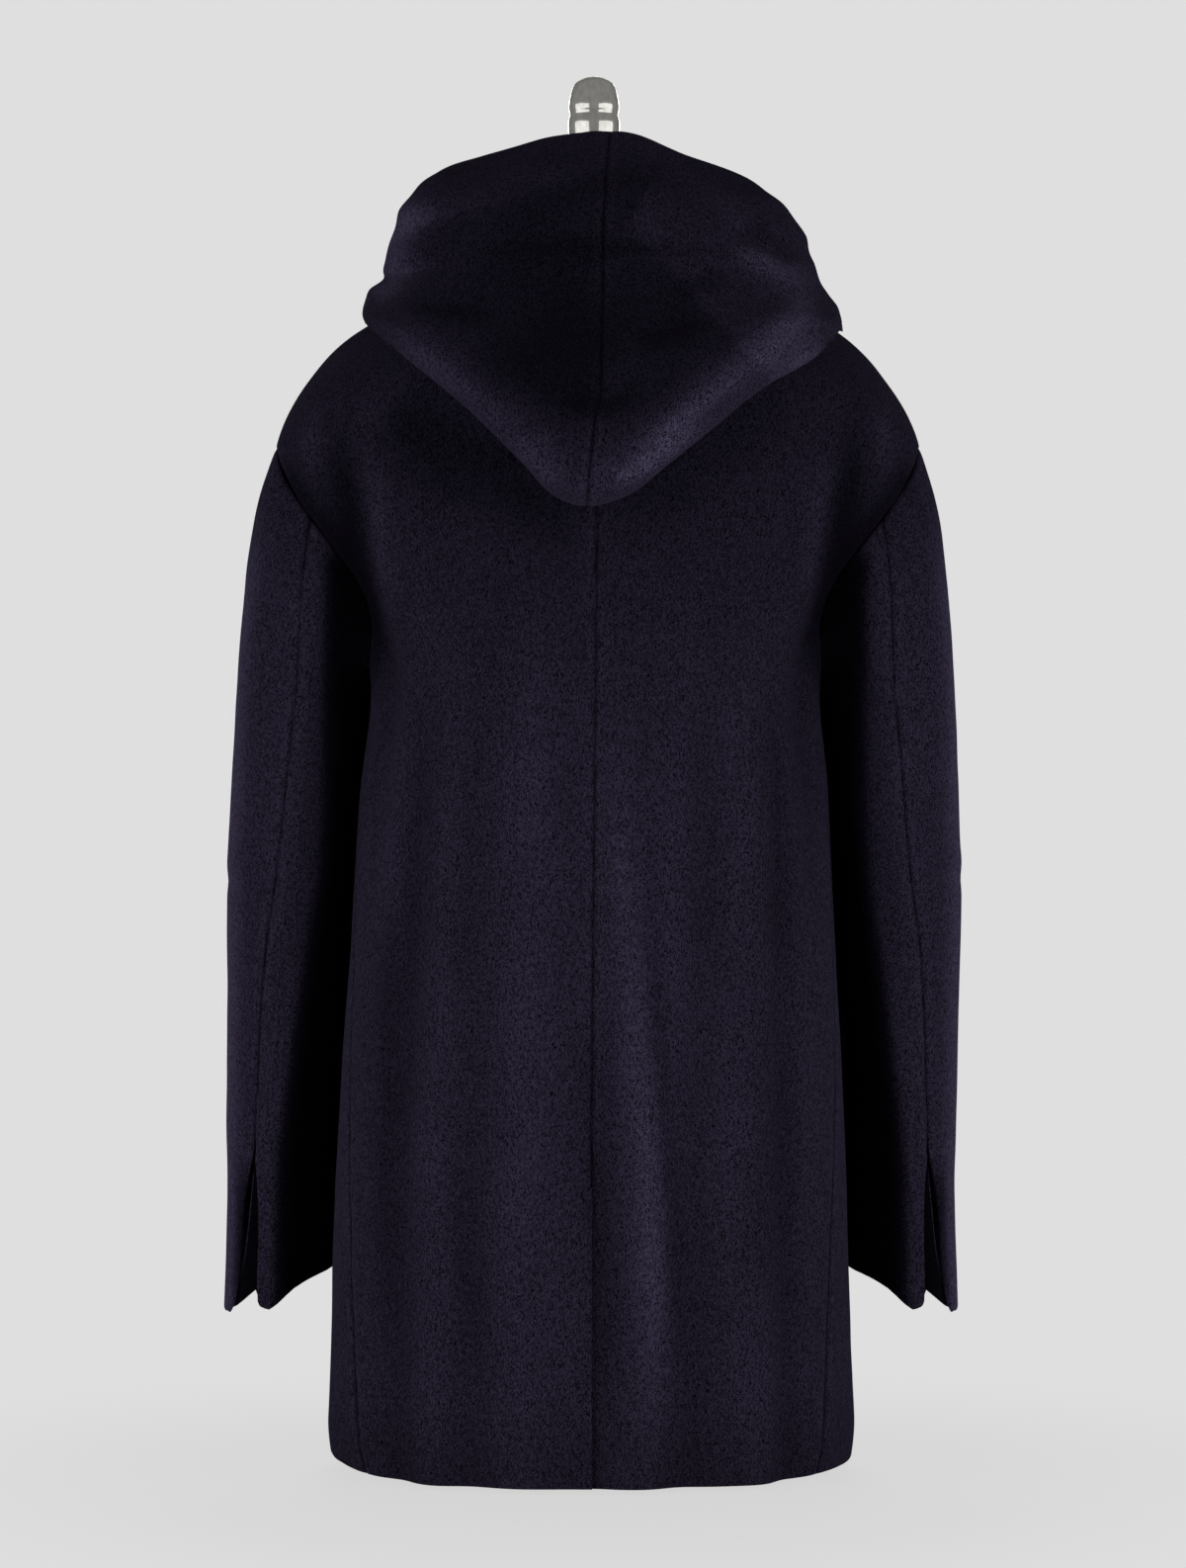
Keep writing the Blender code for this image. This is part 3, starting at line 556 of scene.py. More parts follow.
panelGrid = {
    "columns": (84, 0.045, 0.045),  # how many, and how near the edges the dense ones lie
    "armpit": (math.radians(60), math.radians(210)),  # from the armhole's top, where its lower part starts and ends
}
panelUps = np.concatenate([
    np.linspace(0, 0.06, 7)[:-1],
    np.linspace(0.06, 5.97, 150),
    7 - np.cos(np.linspace(0, math.pi, 62)),
    np.linspace(8.05, 12, 42),
])

backCreases = (
    (0.0011, 10, 0.3, (110, 300), (112, 400), (115, 500)),
    (-0.0014, 8, 0.35, (146, 20), (148, 50), (150, 90)),
    (-0.0014, 7, 0.35, (-138, 10), (-140, 40), (-141, 80)),
    (-0.0016, 12, 0.4, (-45, 100), (-56, 260), (-66, 440)),
)
# painted light and shade on the backs: painted shadow under the hood, painted shade in the armpit folds, paler painted
# ridges and darker painted troughs
backPaintedShade = (
    (-0.35, 22, 0.35, (150, 770), (122, 724), (88, 690)),
    (0.25, 22, 0.35, (-110, 420), (-112, 300), (-108, 190)),
    (-0.22, 22, 0.35, (119, 420), (119, 320), (119, 220)),
    (-0.14, 26, 0.35, (58, 680), (58, 600), (58, 500)),
    (-0.4, 11, 0.35, (3, 360), (0, 260), (-8, 130), (-12, 10)),
    (0.56, 13, 0.2, (-16, 560), (-20, 440), (-28, 340), (-36, 240), (-42, 140), (-44, 30)),
    (-0.48, 8, 0.3, (-40, 430), (-47, 310), (-56, 190), (-60, 60)),
    (-0.42, 18, 0.35, (-108, 470), (-116, 340), (-120, 220), (-116, 80)),
    (0.16, 14, 0.35, (-82, 400), (-88, 260), (-94, 120)),
    (-0.45, 10, 0.3, (146, 440), (149, 280), (147, 80)),
    (0.18, 14, 0.35, (112, 420), (118, 300), (120, 180)),
    (-0.22, 12, 0.35, (94, 240), (90, 160), (88, 60)),
    (-0.22, 12, 0.35, (86, 560), (90, 440), (98, 340)),
    (0.14, 20, 0.35, (50, 420), (52, 280), (56, 120)),
    (0.22, 12, 0.35, (138, 585), (146, 450), (152, 350)),
    (-0.2, 14, 0.35, (112, 585), (118, 450), (122, 360)),
    (0.16, 12, 0.35, (-92, 590), (-96, 450), (-100, 350)),
    (-0.22, 14, 0.35, (-122, 590), (-128, 450), (-130, 360)),
    (-0.16, 16, 0.35, (-68, 600), (-72, 450), (-74, 360)),
    (0.12, 10, 0.35, (60, 600), (58, 500), (56, 420)),
    (0.18, 9, 0.35, (44, 650), (43, 540), (42, 430)),
    (-1.3, 12, 0.45, (181, 775), (181, 730), (174, 686), (166, 638), (160, 590)),
    (-1.3, 12, 0.45, (-185, 775), (-185, 730), (-178, 686), (-170, 638), (-164, 590)),
    (0.3, 8, 0.35, (200, 780), (204, 748), (202, 716)),
    (0.3, 8, 0.35, (-204, 780), (-208, 748), (-206, 716)),
    (0.48, 9, 0.35, (164, 742), (155, 690), (150, 630), (150, 560)),
    (0.48, 9, 0.35, (-170, 742), (-161, 690), (-156, 630), (-156, 560)),
    (-0.6, 24, 0.2, (150, 772), (110, 742), (50, 700), (4, 676)),
    (-0.25, 22, 0.2, (4, 676), (-50, 706), (-105, 744), (-150, 776)),
)
# painted light and shade on the fronts: painted shade near the armholes, paler painted ridges and darker troughs
frontPaintedShade = (
    (-0.5, 12, 0.35, (105, 600), (98, 680), (90, 740)),
    (-0.5, 12, 0.35, (-105, 600), (-98, 680), (-90, 740)),
    (0.25, 16, 0.35, (-60, 20), (-58, 200), (-50, 380)),
    (-0.3, 14, 0.35, (85, 20), (83, 220), (75, 400)),
)
# painted light and shade on the body: fold ridges painted paler and troughs darker, a painted shadow under the hood,
# painted shade round the lower armhole, and the cloth darker toward the hem
bodyPaintedShade = {
    "folds": 45.0,  # for each metre that a fold stands out
    "deepest": 0.006,  # a deeper fold counts as this
    "hem": -0.22,
    "hemHeights": (0.075, 0.010),
    "upper": -0.30,  # painted shadow on the back under the hood
    "upperHeights": (0.50, 0.70),
    "armpit": -1.5,
    "armpitReach": 0.020,
}
frontCreases = (
    (0.0018, 16, 0.35, (-120, 560), (-100, 640), (-85, 720)),
    (-0.0016, 14, 0.35, (-135, 580), (-120, 650), (-105, 730)),
    (0.0018, 16, 0.35, (130, 570), (105, 650), (90, 730)),
    (-0.0016, 14, 0.35, (145, 600), (125, 670), (108, 740)),
    (0.0016, 18, 0.4, (-60, 20), (-58, 200), (-50, 380)),
    (-0.0016, 16, 0.4, (85, 20), (83, 220), (75, 400)),
)


def seamed(world, away, depth, dark):  # a seam's height, its painted shade and the painted highlight beside it, by the distance to it
    pucker = 1 + 0.5 * crumple(world + 11.3, cloth["pucker"])
    swellPlace, swellWidth = cloth["swell"]
    palePlace, paleWidth = cloth["paintedHighlightBand"]
    height = -depth * cloth["seamDip"] * np.exp(-((away / cloth["seamReach"]) ** 2)) * pucker
    height += depth * cloth["allowance"] * np.exp(-(((away - swellPlace) / swellWidth) ** 2))
    tone = -dark * cloth["seamPaintedShade"] * np.exp(-((away / cloth["seamLine"]) ** 2)) * pucker
    tone += dark * cloth["seamPaintedHighlight"] * np.exp(-(((away - palePlace) / paleWidth) ** 2))
    return height, tone


def relief(side, points, seams, creases, paintedShades, where):
    # how far the finished cloth stands out of its plain form, and its painted light and shade: how much darker or paler
    # it is painted
    world = placed(side, points)
    height = uneven(world, cloth["uneven"])
    height += strokes(world[..., 0], world[..., 2], creases) * where(world)
    tone = strokes(world[..., 0], world[..., 2], paintedShades) * where(world)
    for line, look in seams:
        dip, shade = seamed(world, nearTo(points, line), *seamLooks[look])
        height += dip
        tone += shade
    return height, tone


def towardBack(world):
    return ease(world[..., 1], -0.01, 0.03)


def towardFront(world):
    return ease(world[..., 1], 0.01, -0.03)


backVent = {
    "top": 0.216,
    "full": 0.180,
    "seamFrom": 2.16,  # the body's row above which the two backs are sewn together
    "lap": 0.036,
    "lapAt": (0.19, 1.11),  # half width and bluntness of the rings there, which turn the lap into an angle
    "step": 0.024,
    "fade": 0.035,
    "lift": 0.0009,
    "liftReach": 0.020,
    "liftFades": (0.004, 0.050),  # below the vent's top
}
frontLap = {"reach": 0.032, "stepStart": 0.070, "stepEnd": 0.042}


def panel(side, half, centreEdge, push):
    surface = partial(bodyPoint, side)
    share = spacing(*panelGrid["columns"])[None, :]
    edge = sideEdge(panelUps, half)
    centre = centreEdge(panelUps)
    turn = centre[:, None] + (edge - centre)[:, None] * share
    up = np.broadcast_to(panelUps[:, None], turn.shape)
    plain = hemmed(side, turn, surface(turn, up))
    out = normalsOf(surface, turn, up)
    seams = [(plain[:, -1], "side")]
    if half == "back":
        seamRows = panelUps > backVent["seamFrom"]
        seams.append((surface(np.zeros(seamRows.sum()), panelUps[seamRows]), "centreBack"))
        height, tone = relief(side, plain, seams, backCreases, backPaintedShade, towardBack)
    else:
        height, tone = relief(side, plain, seams, frontCreases, frontPaintedShade, towardFront)
    # painted light and shade of the folds, the hem, the back under the hood and the lower armhole
    above = plain[..., 2]
    deepest = bodyPaintedShade["deepest"]
    tone += bodyPaintedShade["folds"] * np.clip(foldDepth(side, turn, above), -deepest, deepest)
    tone += bodyPaintedShade["hem"] * ease(above, *bodyPaintedShade["hemHeights"])
    if half == "back":
        tone += bodyPaintedShade["upper"] * ease(above, *bodyPaintedShade["upperHeights"])
    low = armhole(side, np.linspace(*panelGrid["armpit"], 90))
    tone += bodyPaintedShade["armpit"] * np.exp(-((nearTo(plain, low) / bodyPaintedShade["armpitReach"]) ** 2))
    outer = plain + out * (height - push(plain, turn))[..., None]
    thick = inwardOf(outer, out)
    tangent = unit(surface(turn[:, -1] + 0.01, up[:, -1]) - surface(turn[:, -1] - 0.01, up[:, -1]))
    outer[:, -1] += tangent * cloth["seamGap"] / 2 * (-1 if half == "back" else 1)
    bottom, middle, top = bodyShape["armhole"]
    hole = (panelUps >= bottom) & (panelUps <= top)
    roundTurn = np.arccos(np.clip(panelUps[hole] - middle, -1, 1)) * (1 if half == "back" else -1)
    for back in range(1, cloth["turnIn"] + 1):  # the wall turns smoothly into the armhole's edge
        blend = (1 - (back - 1) / cloth["turnIn"]) ** 2
        thick[hole, -back] = unit(thick[hole, -back] * (1 - blend) + armholeInward(roundTurn) * blend)
    return outer, outer + thick * cloth["wall"], plain, np.exp(tone)


def centreBack(ups):
    return np.zeros_like(ups)


def underlapEdge(ups):
    height = rowAt(bodyShape["rings"], ups)[:, 3]
    reach = backVent["lap"] * ease(height, backVent["top"], backVent["full"])
    halfWidth, blunt = backVent["lapAt"]
    return -((reach / halfWidth) ** blunt)


def overPush(plain, turn):  # the upper layer of the vent stands a little proud at its free edge
    near = ease(plain[..., 0], backVent["liftReach"], 0)
    low = ease(plain[..., 2], *(backVent["top"] - below for below in backVent["liftFades"]))
    return -backVent["lift"] * near * low


def underPush(plain, turn):
    near = ease(plain[..., 0], backVent["step"], 0.001)
    low = ease(plain[..., 2], backVent["top"] + backVent["fade"], backVent["top"] + 0.002)
    return (cloth["wall"] + cloth["lapGap"]) * near * low


def frontEdge(ups):
    row = rowAt(bodyShape["rings"], ups)
    return math.pi + (frontLap["reach"] / row[:, 0]) ** (row[:, 6] / 2)


def frontUnderPush(plain, turn):
    share = ease(plain[..., 0], frontLap["stepStart"], frontLap["stepEnd"]) * (plain[..., 1] < 0)
    return (cloth["wall"] + cloth["lapGap"]) * share


def noPush(plain, turn):
    return np.zeros(plain.shape[:-1])


def settle(piece, node):
    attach(piece, "root")
    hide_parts(node)


def finishCloth(piece, node):
    settle(piece, node)
    print(node, len(piece.data.polygons) * 2, "triangles")


def buildBody():
    gap = np.array((cloth["seamGap"] / 2, 0, 0))
    for side, edge, push in (("left", centreBack, overPush), ("right", underlapEdge, underPush)):
        outer, inner, plain, tone = panel(side, "back", edge, push)
        free = ease(plain[:, 0, 2], backVent["top"], backVent["top"] - 0.01) * cloth["ventEdge"]
        rounds = (cloth["roundEdge"], 0, 0, free)
        piece = clothPiece("wool_back_" + side, side, outer + gap, inner + gap, rounds, wool, tone)
        finishCloth(piece, "back_" + side)
    rounds = (cloth["roundEdge"], 0, 0, cloth["roundEdge"])
    for side, push in (("left", frontUnderPush), ("right", noPush)):
        outer, inner, plain, tone = panel(side, "front", frontEdge, push)
        piece = clothPiece("wool_front_" + side, side, outer, inner, rounds, wool, tone)
        finishCloth(piece, "front_" + side)


buildBody()
print("body built")


# the sleeves
sleeveShape = {
    # outerX, outerZ, innerX, innerZ, midY, halfY, drop; from the armhole down to the cuff
    "rings": (
        (0.2342, 0.743, 0.1650, 0.585, -0.002, 0.0540, 0.000),
        (0.2462, 0.706, 0.1705, 0.570, -0.003, 0.0600, 0.000),
        (0.2532, 0.668, 0.1712, 0.553, -0.004, 0.0625, 0.000),
        (0.2588, 0.608, 0.1716, 0.520, -0.006, 0.0620, 0.002),
        (0.2640, 0.535, 0.1726, 0.470, -0.013, 0.0610, 0.003),
        (0.2690, 0.435, 0.1752, 0.397, -0.024, 0.0590, 0.004),
        (0.2692, 0.349, 0.1792, 0.325, -0.034, 0.0560, 0.008),
        (0.2685, 0.257, 0.1826, 0.250, -0.042, 0.0530, 0.012),
        (0.2680, 0.196, 0.1844, 0.200, -0.046, 0.0510, 0.014),
        (0.2712, 0.128, 0.1860, 0.142, -0.048, 0.0490, 0.016),
    ),
    "frontSeam": math.radians(262),
    "settles": 3.0,  # the ring by which the armhole's own shape has faded
    # ring and degrees: where the back seam runs
    "backSeam": ((0, 74), (0.25, 76), (0.55, 78), (0.83, 81), (1.9, 88), (2.9, 91), (3.75, 87), (4.4, 84),
                 (4.9, 80), (5.4, 73), (6.0, 68), (6.5, 65.5), (7.0, 62.5), (7.25, 62), (7.68, 64), (8.2, 65.5),
                 (8.6, 66), (9.0, 68)),
    # the inner side goes a little behind the body
    "tuck": {
        "x": ((0.1, 0), (0.5, 0.0045), (1.0, 0.0105), (1.8, 0.0150), (3.0, 0.0130), (4.2, 0.0092), (5.2, 0.0060),
              (7, 0.0045), (8.4, 0)),
        "y": ((0.1, 0), (0.5, 0.012), (1.0, 0.027), (1.8, 0.042), (3.2, 0.045), (4.4, 0.036), (5.4, 0.024),
              (7, 0.018), (8.4, 0)),
    },
}
cuffVent = {
    # ring and degrees: the flap's free edge and the free edge of the layer under it
    "flapEdge": ((7.05, 62.5), (7.25, 59.5), (7.38, 57), (7.5, 54), (7.75, 49.5), (7.98, 46), (8.45, 43), (8.78, 39),
                 (8.92, 33), (9.0, 26)),
    "lapEdge": ((7.05, 62.5), (7.25, 60.5), (7.45, 58.5), (7.75, 55.5), (8.46, 47.5), (8.78, 38.5), (8.92, 24),
                (9.0, 8)),
    "inset": 0.0038,  # how deep the under layer lies
    "roll": 0.0006,  # how far the petal's edge stands proud of it
    # degrees and how far the hem lies above its plain ring
    "flapHem": ((-98, -0.022), (-60, -0.018), (-20, -0.0110), (0, -0.0105), (8, -0.0125), (18, -0.0118), (25, -0.0095)),
    "underHem": ((8, -0.0110), (14, -0.0108), (22, -0.0080), (32, -0.0044), (45, 0.0020), (57, 0.0084), (62, 0.0110),
                 (65, 0.0128), (66.5, 0.0112), (68.5, 0.0060), (72, 0.0012), (76, -0.0008), (82, -0.0020), (91, 0.0017),
                 (99, 0.0062), (107, 0.0098), (117, 0.0119), (126, 0.0125), (136, 0.0120), (155, 0.0095), (180, 0.0040),
                 (215, -0.0100), (240, -0.0190), (262, -0.0220)),
    "hemFade": (8.05, 9.0),
    "joins": (6.9, 7.1),  # rings between which its edges leave the seam
    "opens": (6.95, 7.2),  # between which their wall turns round
    "deepens": (6.95, 7.4),
    "petal": 0.5,  # degrees from the seam to the petal's edge
    "narrowest": 0.8,  # degrees of the under layer
    "petalEdge": 5,  # degrees that are finely divided
    "petalFade": (2.2, -0.6),
    "rollPlace": (4, 3),  # degrees from the petal's edge, and how wide
}


# painted shade and painted light on the sleeves: painted shade on the inner side next to the body, on the layer under
# the cuff's flap and on the flap's free edge; painted light on the outer side and a painted highlight on the under
# layer's edge
sleeveShade = {
    "inner": -3.2,
    "innerFrom": (0.55, 0.95),
    # height and how far out the dark side of the sleeve reaches
    "innerEdge": ((0.16, 0.222), (0.22, 0.220), (0.27, 0.214), (0.3735, 0.199), (0.425, 0.190), (0.477, 0.186),
                  (0.66, 0.186)),
    "innerFade": (0.014, -0.003),  # how far to each side of that it fades
    "innerHeights": (0.672, 0.655),
    "innerDepths": (-0.06, -0.03),
    "outer": 0.95,
    "outerFrom": (-0.55, -1.0),
    "outerHeights": (0.72, 0.62),
    "fold": -2.8,  # of the layer under the cuff's flap
    "flap": -1.2,  # of the flap's own free edge
    "flapTurns": (30, 46),
    "flapPlaces": (7.2, 8.0),
    "underEdge": 1.1,  # the free edge of the under layer catches the light
}
sleeveCreases = {
    "left": (
        (-0.0018, 6, 0.35, (275, 430), (255, 424), (238, 428)),
        (0.0012, 9, 0.4, (272, 446), (255, 442), (240, 448)),
        (-0.002, 10, 0.4, (205, 400), (218, 350), (222, 290)),
        (0.0018, 11, 0.4, (248, 640), (246, 560), (243, 480)),
        (-0.0018, 10, 0.4, (222, 660), (218, 600), (212, 520)),
    ),
    "right": (
        (-0.0018, 6, 0.35, (-275, 432), (-252, 425), (-236, 430)),
        (0.0012, 9, 0.4, (-272, 448), (-255, 443), (-240, 450)),
        (-0.0018, 10, 0.4, (-205, 390), (-217, 340), (-222, 280)),
        (0.0018, 11, 0.4, (-250, 650), (-248, 570), (-246, 490)),
        (-0.0018, 10, 0.4, (-224, 660), (-220, 600), (-214, 520)),
    ),
}


def sleeveOval(roundTurn, place):
    outerX, outerZ, innerX, innerZ, midY, halfY, drop = np.moveaxis(rowAt(sleeveShape["rings"], place), -1, 0)
    across = np.cos(roundTurn)
    along = np.sin(roundTurn)
    x = (outerX + innerX) / 2 + (outerX - innerX) / 2 * across
    z = (outerZ + innerZ) / 2 + (outerZ - innerZ) / 2 * across - drop * along
    inward = np.maximum(-across, 0) ** 2
    tuckX, tuckY = (softTable(sleeveShape["tuck"][axis], place) for axis in "xy")
    return np.stack([x - tuckX * inward, midY + halfY * along - tuckY * inward, z], -1)


def sleevePoint(side, roundTurn, place):
    roundTurn, place = np.broadcast_arrays(np.asarray(roundTurn, float), np.asarray(place, float))
    ownShape = armhole(side, roundTurn) - sleeveOval(roundTurn, np.zeros_like(place))
    keep = np.maximum(1 - np.maximum(place, 0) / sleeveShape["settles"], 0) ** 2
    return sleeveOval(roundTurn, place) + ownShape * keep[..., None]


sleevePlaces = np.concatenate([np.linspace(0, 1, 26)[:-1], np.linspace(1, 7, 120)[:-1], np.linspace(7, 9, 64)])


def sleeveSeams():
    share = np.minimum(sleevePlaces, 1)
    front = math.radians(270) + (sleeveShape["frontSeam"] - math.radians(270)) * share
    back = softTable(sleeveShape["backSeam"], sleevePlaces)
    return np.radians(back), front


def ventEdge(name, seam):  # the seam above the vent, and the free edge below its top
    edge = np.radians(softTable(cuffVent[name], sleevePlaces))
    share = ease(sleevePlaces, *cuffVent["joins"])
    return seam * (1 - share) + edge * share


def sleevePiece(side, turn, push, lift):
    surface = partial(sleevePoint, side)
    place = np.broadcast_to(sleevePlaces[:, None], turn.shape)
    plain = surface(turn, place)
    out = normalsOf(surface, turn, np.maximum(place, 0.02))
    back, front = sleeveSeams()
    seamRows = sleevePlaces < cuffVent["opens"][1]
    seams = [
        (surface(back[seamRows], sleevePlaces[seamRows]), "sleeve"),
        (surface(front, sleevePlaces), "sleeve"),
        (armhole(side, np.linspace(0, 2 * math.pi, 240)), "armhole"),
    ]
    height, tone = relief(side, plain, seams, sleeveCreases[side], (), towardBackOfArm)
    # painted shade on the sleeve's inner side, next to the body, painted light on its outer side, and painted shade on
    # the layer pushed in under the cuff's flap
    inward = -np.cos(turn)
    edge = softTable(sleeveShade["innerEdge"], plain[..., 2], 0.012)
    pale, full = sleeveShade["innerFade"]
    dark = ease(plain[..., 0], edge + pale, edge + full) * ease(plain[..., 2], *sleeveShade["innerHeights"])
    dark *= ease(plain[..., 1], *sleeveShade["innerDepths"])
    tone += sleeveShade["inner"] * np.maximum(dark, ease(inward, *sleeveShade["innerFrom"]))
    outward = ease(inward, *sleeveShade["outerFrom"]) * ease(plain[..., 2], *sleeveShade["outerHeights"])
    tone += sleeveShade["outer"] * outward
    tone += sleeveShade["fold"] * (push > 0.001)
    outer = plain + out * (height - push)[..., None]
    outer[..., 2] += lift
    thick = inwardOf(outer, out)
    for row in range(cloth["turnIn"]):
        blend = (1 - row / cloth["turnIn"]) ** 2
        thick[row] = unit(thick[row] * (1 - blend) + armholeInward(turn[row]) * blend)
    return outer, outer + thick * cloth["wall"], np.exp(tone)


def towardBackOfArm(world):
    return ease(world[..., 1], -0.055, -0.025)


def hemRise(name, turn):
    degrees, rises = np.array(cuffVent[name]).T
    fade = ease(sleevePlaces, *cuffVent["hemFade"])[:, None]
    return np.interp(np.degrees(turn), degrees, rises) * fade


def buildSleeve(side):
    back, front = sleeveSeams()
    free = cloth["roundEdge"] * ease(sleevePlaces, *cuffVent["opens"])
    topEdge = ventEdge("flapEdge", back)
    start = front - 2 * math.pi
    turn = start[:, None] + (topEdge - start)[:, None] * spacing(52, 0.05, 0.05)[None, :]
    outer, inner, tone = sleevePiece(side, turn, np.zeros(turn.shape), hemRise("flapHem", turn))
    # painted shade on the flap's free edge
    flap = ease(np.degrees(turn), *sleeveShade["flapTurns"])
    flap = flap * ease(sleevePlaces, *sleeveShade["flapPlaces"])[:, None]
    tone *= np.exp(sleeveShade["flap"] * flap)
    rounds = (0, free, cloth["roundEdge"], 0)
    piece = clothPiece("wool_top_sleeve_" + side, side, outer, inner, rounds, wool, tone)
    finishCloth(piece, "top_sleeve_" + side)

    lapEdge = ventEdge("lapEdge", back)
    petal = back + math.radians(cuffVent["petal"])
    narrow = np.maximum(petal - lapEdge, math.radians(cuffVent["narrowest"]))
    petalEdge = math.radians(cuffVent["petalEdge"])
    lap = lapEdge[:, None] + narrow[:, None] * np.linspace(0, 1, 15)[None, :-1]
    step = (lapEdge + narrow)[:, None] + petalEdge * np.linspace(0, 1, 9)[None, :-1]
    rest = (lapEdge + narrow)[:, None] + petalEdge
    rest = rest + (front[:, None] - rest) * np.concatenate([np.linspace(0, 0.96, 44), [0.972, 0.982, 0.99, 0.995, 1]])
    turn = np.concatenate([lap, step, rest], axis=1)
    past = turn - petal[:, None]
    inside = ease(past, *np.radians(cuffVent["petalFade"]))
    opened = ease(sleevePlaces, *cuffVent["deepens"])[:, None]
    rollPlace, rollWidth = cuffVent["rollPlace"]
    push = cuffVent["inset"] * inside * opened
    push = push - cuffVent["roll"] * opened * np.exp(-(((np.degrees(past) - rollPlace) / rollWidth) ** 2))
    outer, inner, tone = sleevePiece(side, turn, push, hemRise("underHem", turn))
    # a painted highlight on the under layer's free edge
    tone[:, 0] = np.where(sleevePlaces > 7.5, sleeveShade["underEdge"], tone[:, 0])
    rounds = (0, 0, cloth["roundEdge"], free)
    piece = clothPiece("wool_under_sleeve_" + side, side, outer, inner, rounds, wool, tone)
    finishCloth(piece, "under_sleeve_" + side)


for side in ("left", "right"):
    buildSleeve(side)
print("sleeves built")


# the hood
hoodShape = {
    # turn, rim XYZ, belly XYZ, roll XYZ, roll radius, row and turn of the body where the under layer leaves the coat
    "rows": (
        (-12, -0.028, 0.0455, 0.966, -0.034, 0.106, 0.851, -0.027, 0.1345, 0.7210, 0.020, 7.90, -5),
        (0, 0.000, 0.046, 0.967, 0.000, 0.108, 0.850, 0.000, 0.136, 0.7130, 0.020, 7.80, 0),
        (12, 0.028, 0.0455, 0.966, 0.034, 0.106, 0.851, 0.027, 0.1345, 0.7210, 0.020, 7.90, 5),
        (25, 0.056, 0.043, 0.962, 0.066, 0.104, 0.853, 0.051, 0.130, 0.7460, 0.020, 8.10, 10),
        (50, 0.100, 0.030, 0.950, 0.124, 0.078, 0.862, 0.100, 0.106, 0.798, 0.020, 8.80, 26),
        (72, 0.122, 0.008, 0.937, 0.150, 0.043, 0.872, 0.138, 0.064, 0.832, 0.018, 9.50, 46),
        (90, 0.129, -0.018, 0.921, 0.155, 0.004, 0.880, 0.151, 0.018, 0.853, 0.016, 10.20, 78),
        (108, 0.117, -0.045, 0.900, 0.135, -0.036, 0.873, 0.130, -0.032, 0.856, 0.013, 10.50, 112),
        (128, 0.089, -0.070, 0.876, 0.102, -0.066, 0.860, 0.095, -0.062, 0.846, 0.011, 10.80, 132),
        (150, 0.050, -0.088, 0.854, 0.058, -0.090, 0.841, 0.052, -0.083, 0.830, 0.010, 11.10, 153),
        (176, 0.006, -0.095, 0.838, 0.007, -0.099, 0.828, 0.006, -0.092, 0.818, 0.009, 11.30, 177),
    ),
    # how far down from belly to roll the fullest line lies, how full it is, and by which turn it fades
    "bag": (0.62, 0.015, 60),
    # across X, how far the crest lies below its plain ring
    "crestDrop": {
        "left": ((0.0, 0.0), (0.035, 0.001), (0.052, 0.0035), (0.080, 0.0050), (0.100, 0.003), (0.118, 0.0),
                 (0.16, 0.004)),
        "right": ((0.0, 0.0), (0.016, 0.001), (0.035, 0.0058), (0.050, 0.0098), (0.064, 0.0116), (0.078, 0.0118),
                  (0.092, 0.0124), (0.120, 0.0140), (0.136, 0.0175), (0.16, 0.020)),
    },
    "crestHeights": (0.855, 0.925),  # between which that sets in
    # height and how far the middle is moved along X there: the seam isn't quite straight
    "seamSway": ((0.690, 0.0070), (0.715, 0.0055), (0.750, 0.0020), (0.770, -0.0021), (0.840, -0.0035),
                 (0.900, -0.0042), (0.938, -0.0063), (0.970, -0.0093)),
    "swayWidth": 0.055,
    "swayShare": 0.75,  # of each section's points: only the outer layer is moved
    # in millimetres, the height of each place where the sides are drawn in or, below 0, swell out, how far up and down
    # it reaches, and how deep it is
    "drawnIn": {
        "left": ((832, 16, -7.5), (864, 5, 5), (903, 14, 5), (936, 9, -4)),
        "right": ((829, 7, -3), (860, 12, 4), (886, 14, 7), (918, 8, -3.5)),
    },
    "drawnFrom": (0.070, 0.125),  # across X
    "wider": {"left": 0.99, "right": 1.05},
    # turn and how far the roll hangs lower there
    "sag": {
        "left": ((12, 0.0), (25, 0.002), (50, 0.006), (72, 0.007), (90, 0.003), (108, 0.0)),
        "right": ((12, 0.0), (25, 0.001), (50, 0.006), (72, 0.0155), (90, 0.016), (108, 0.008), (128, 0.0)),
    },
    "lift": {"neck": 0.0010, "leave": 0.0060, "off": 0.0045},
    "crown": (0.05, 0.008, 0.012),
    "roll": ((0.98, -0.3), (0.75, 0.7), (0.0, 1.0), (-0.8, 0.5)),
    "under": (0, 0.2, 0.4, 0.6, 0.8, 1),
    "neckUp": 11.92,
    "coatRows": (7, 12),  # the body's rows that the hood is kept off
    "sections": 130,
    "fineStart": (0.18, 9),  # the first part of a row is cut finer, and into how many
    "points": 150,  # of each section, from the rim to the neck
    "neckPoints": 27,  # of those, the ones that lie close to the neck
    "shows": (0.38, 0.50),  # the share of them that are outside, where creases and tones fade in
    "unevenShows": (0.3, 0.5),
    "uneven": ((0.045, 1, 0.0007, 0), (0.017, 1, 0.00025, 5.1)),
    "facesBack": (20, 60),  # a section and a point of it that tell which side is out
}

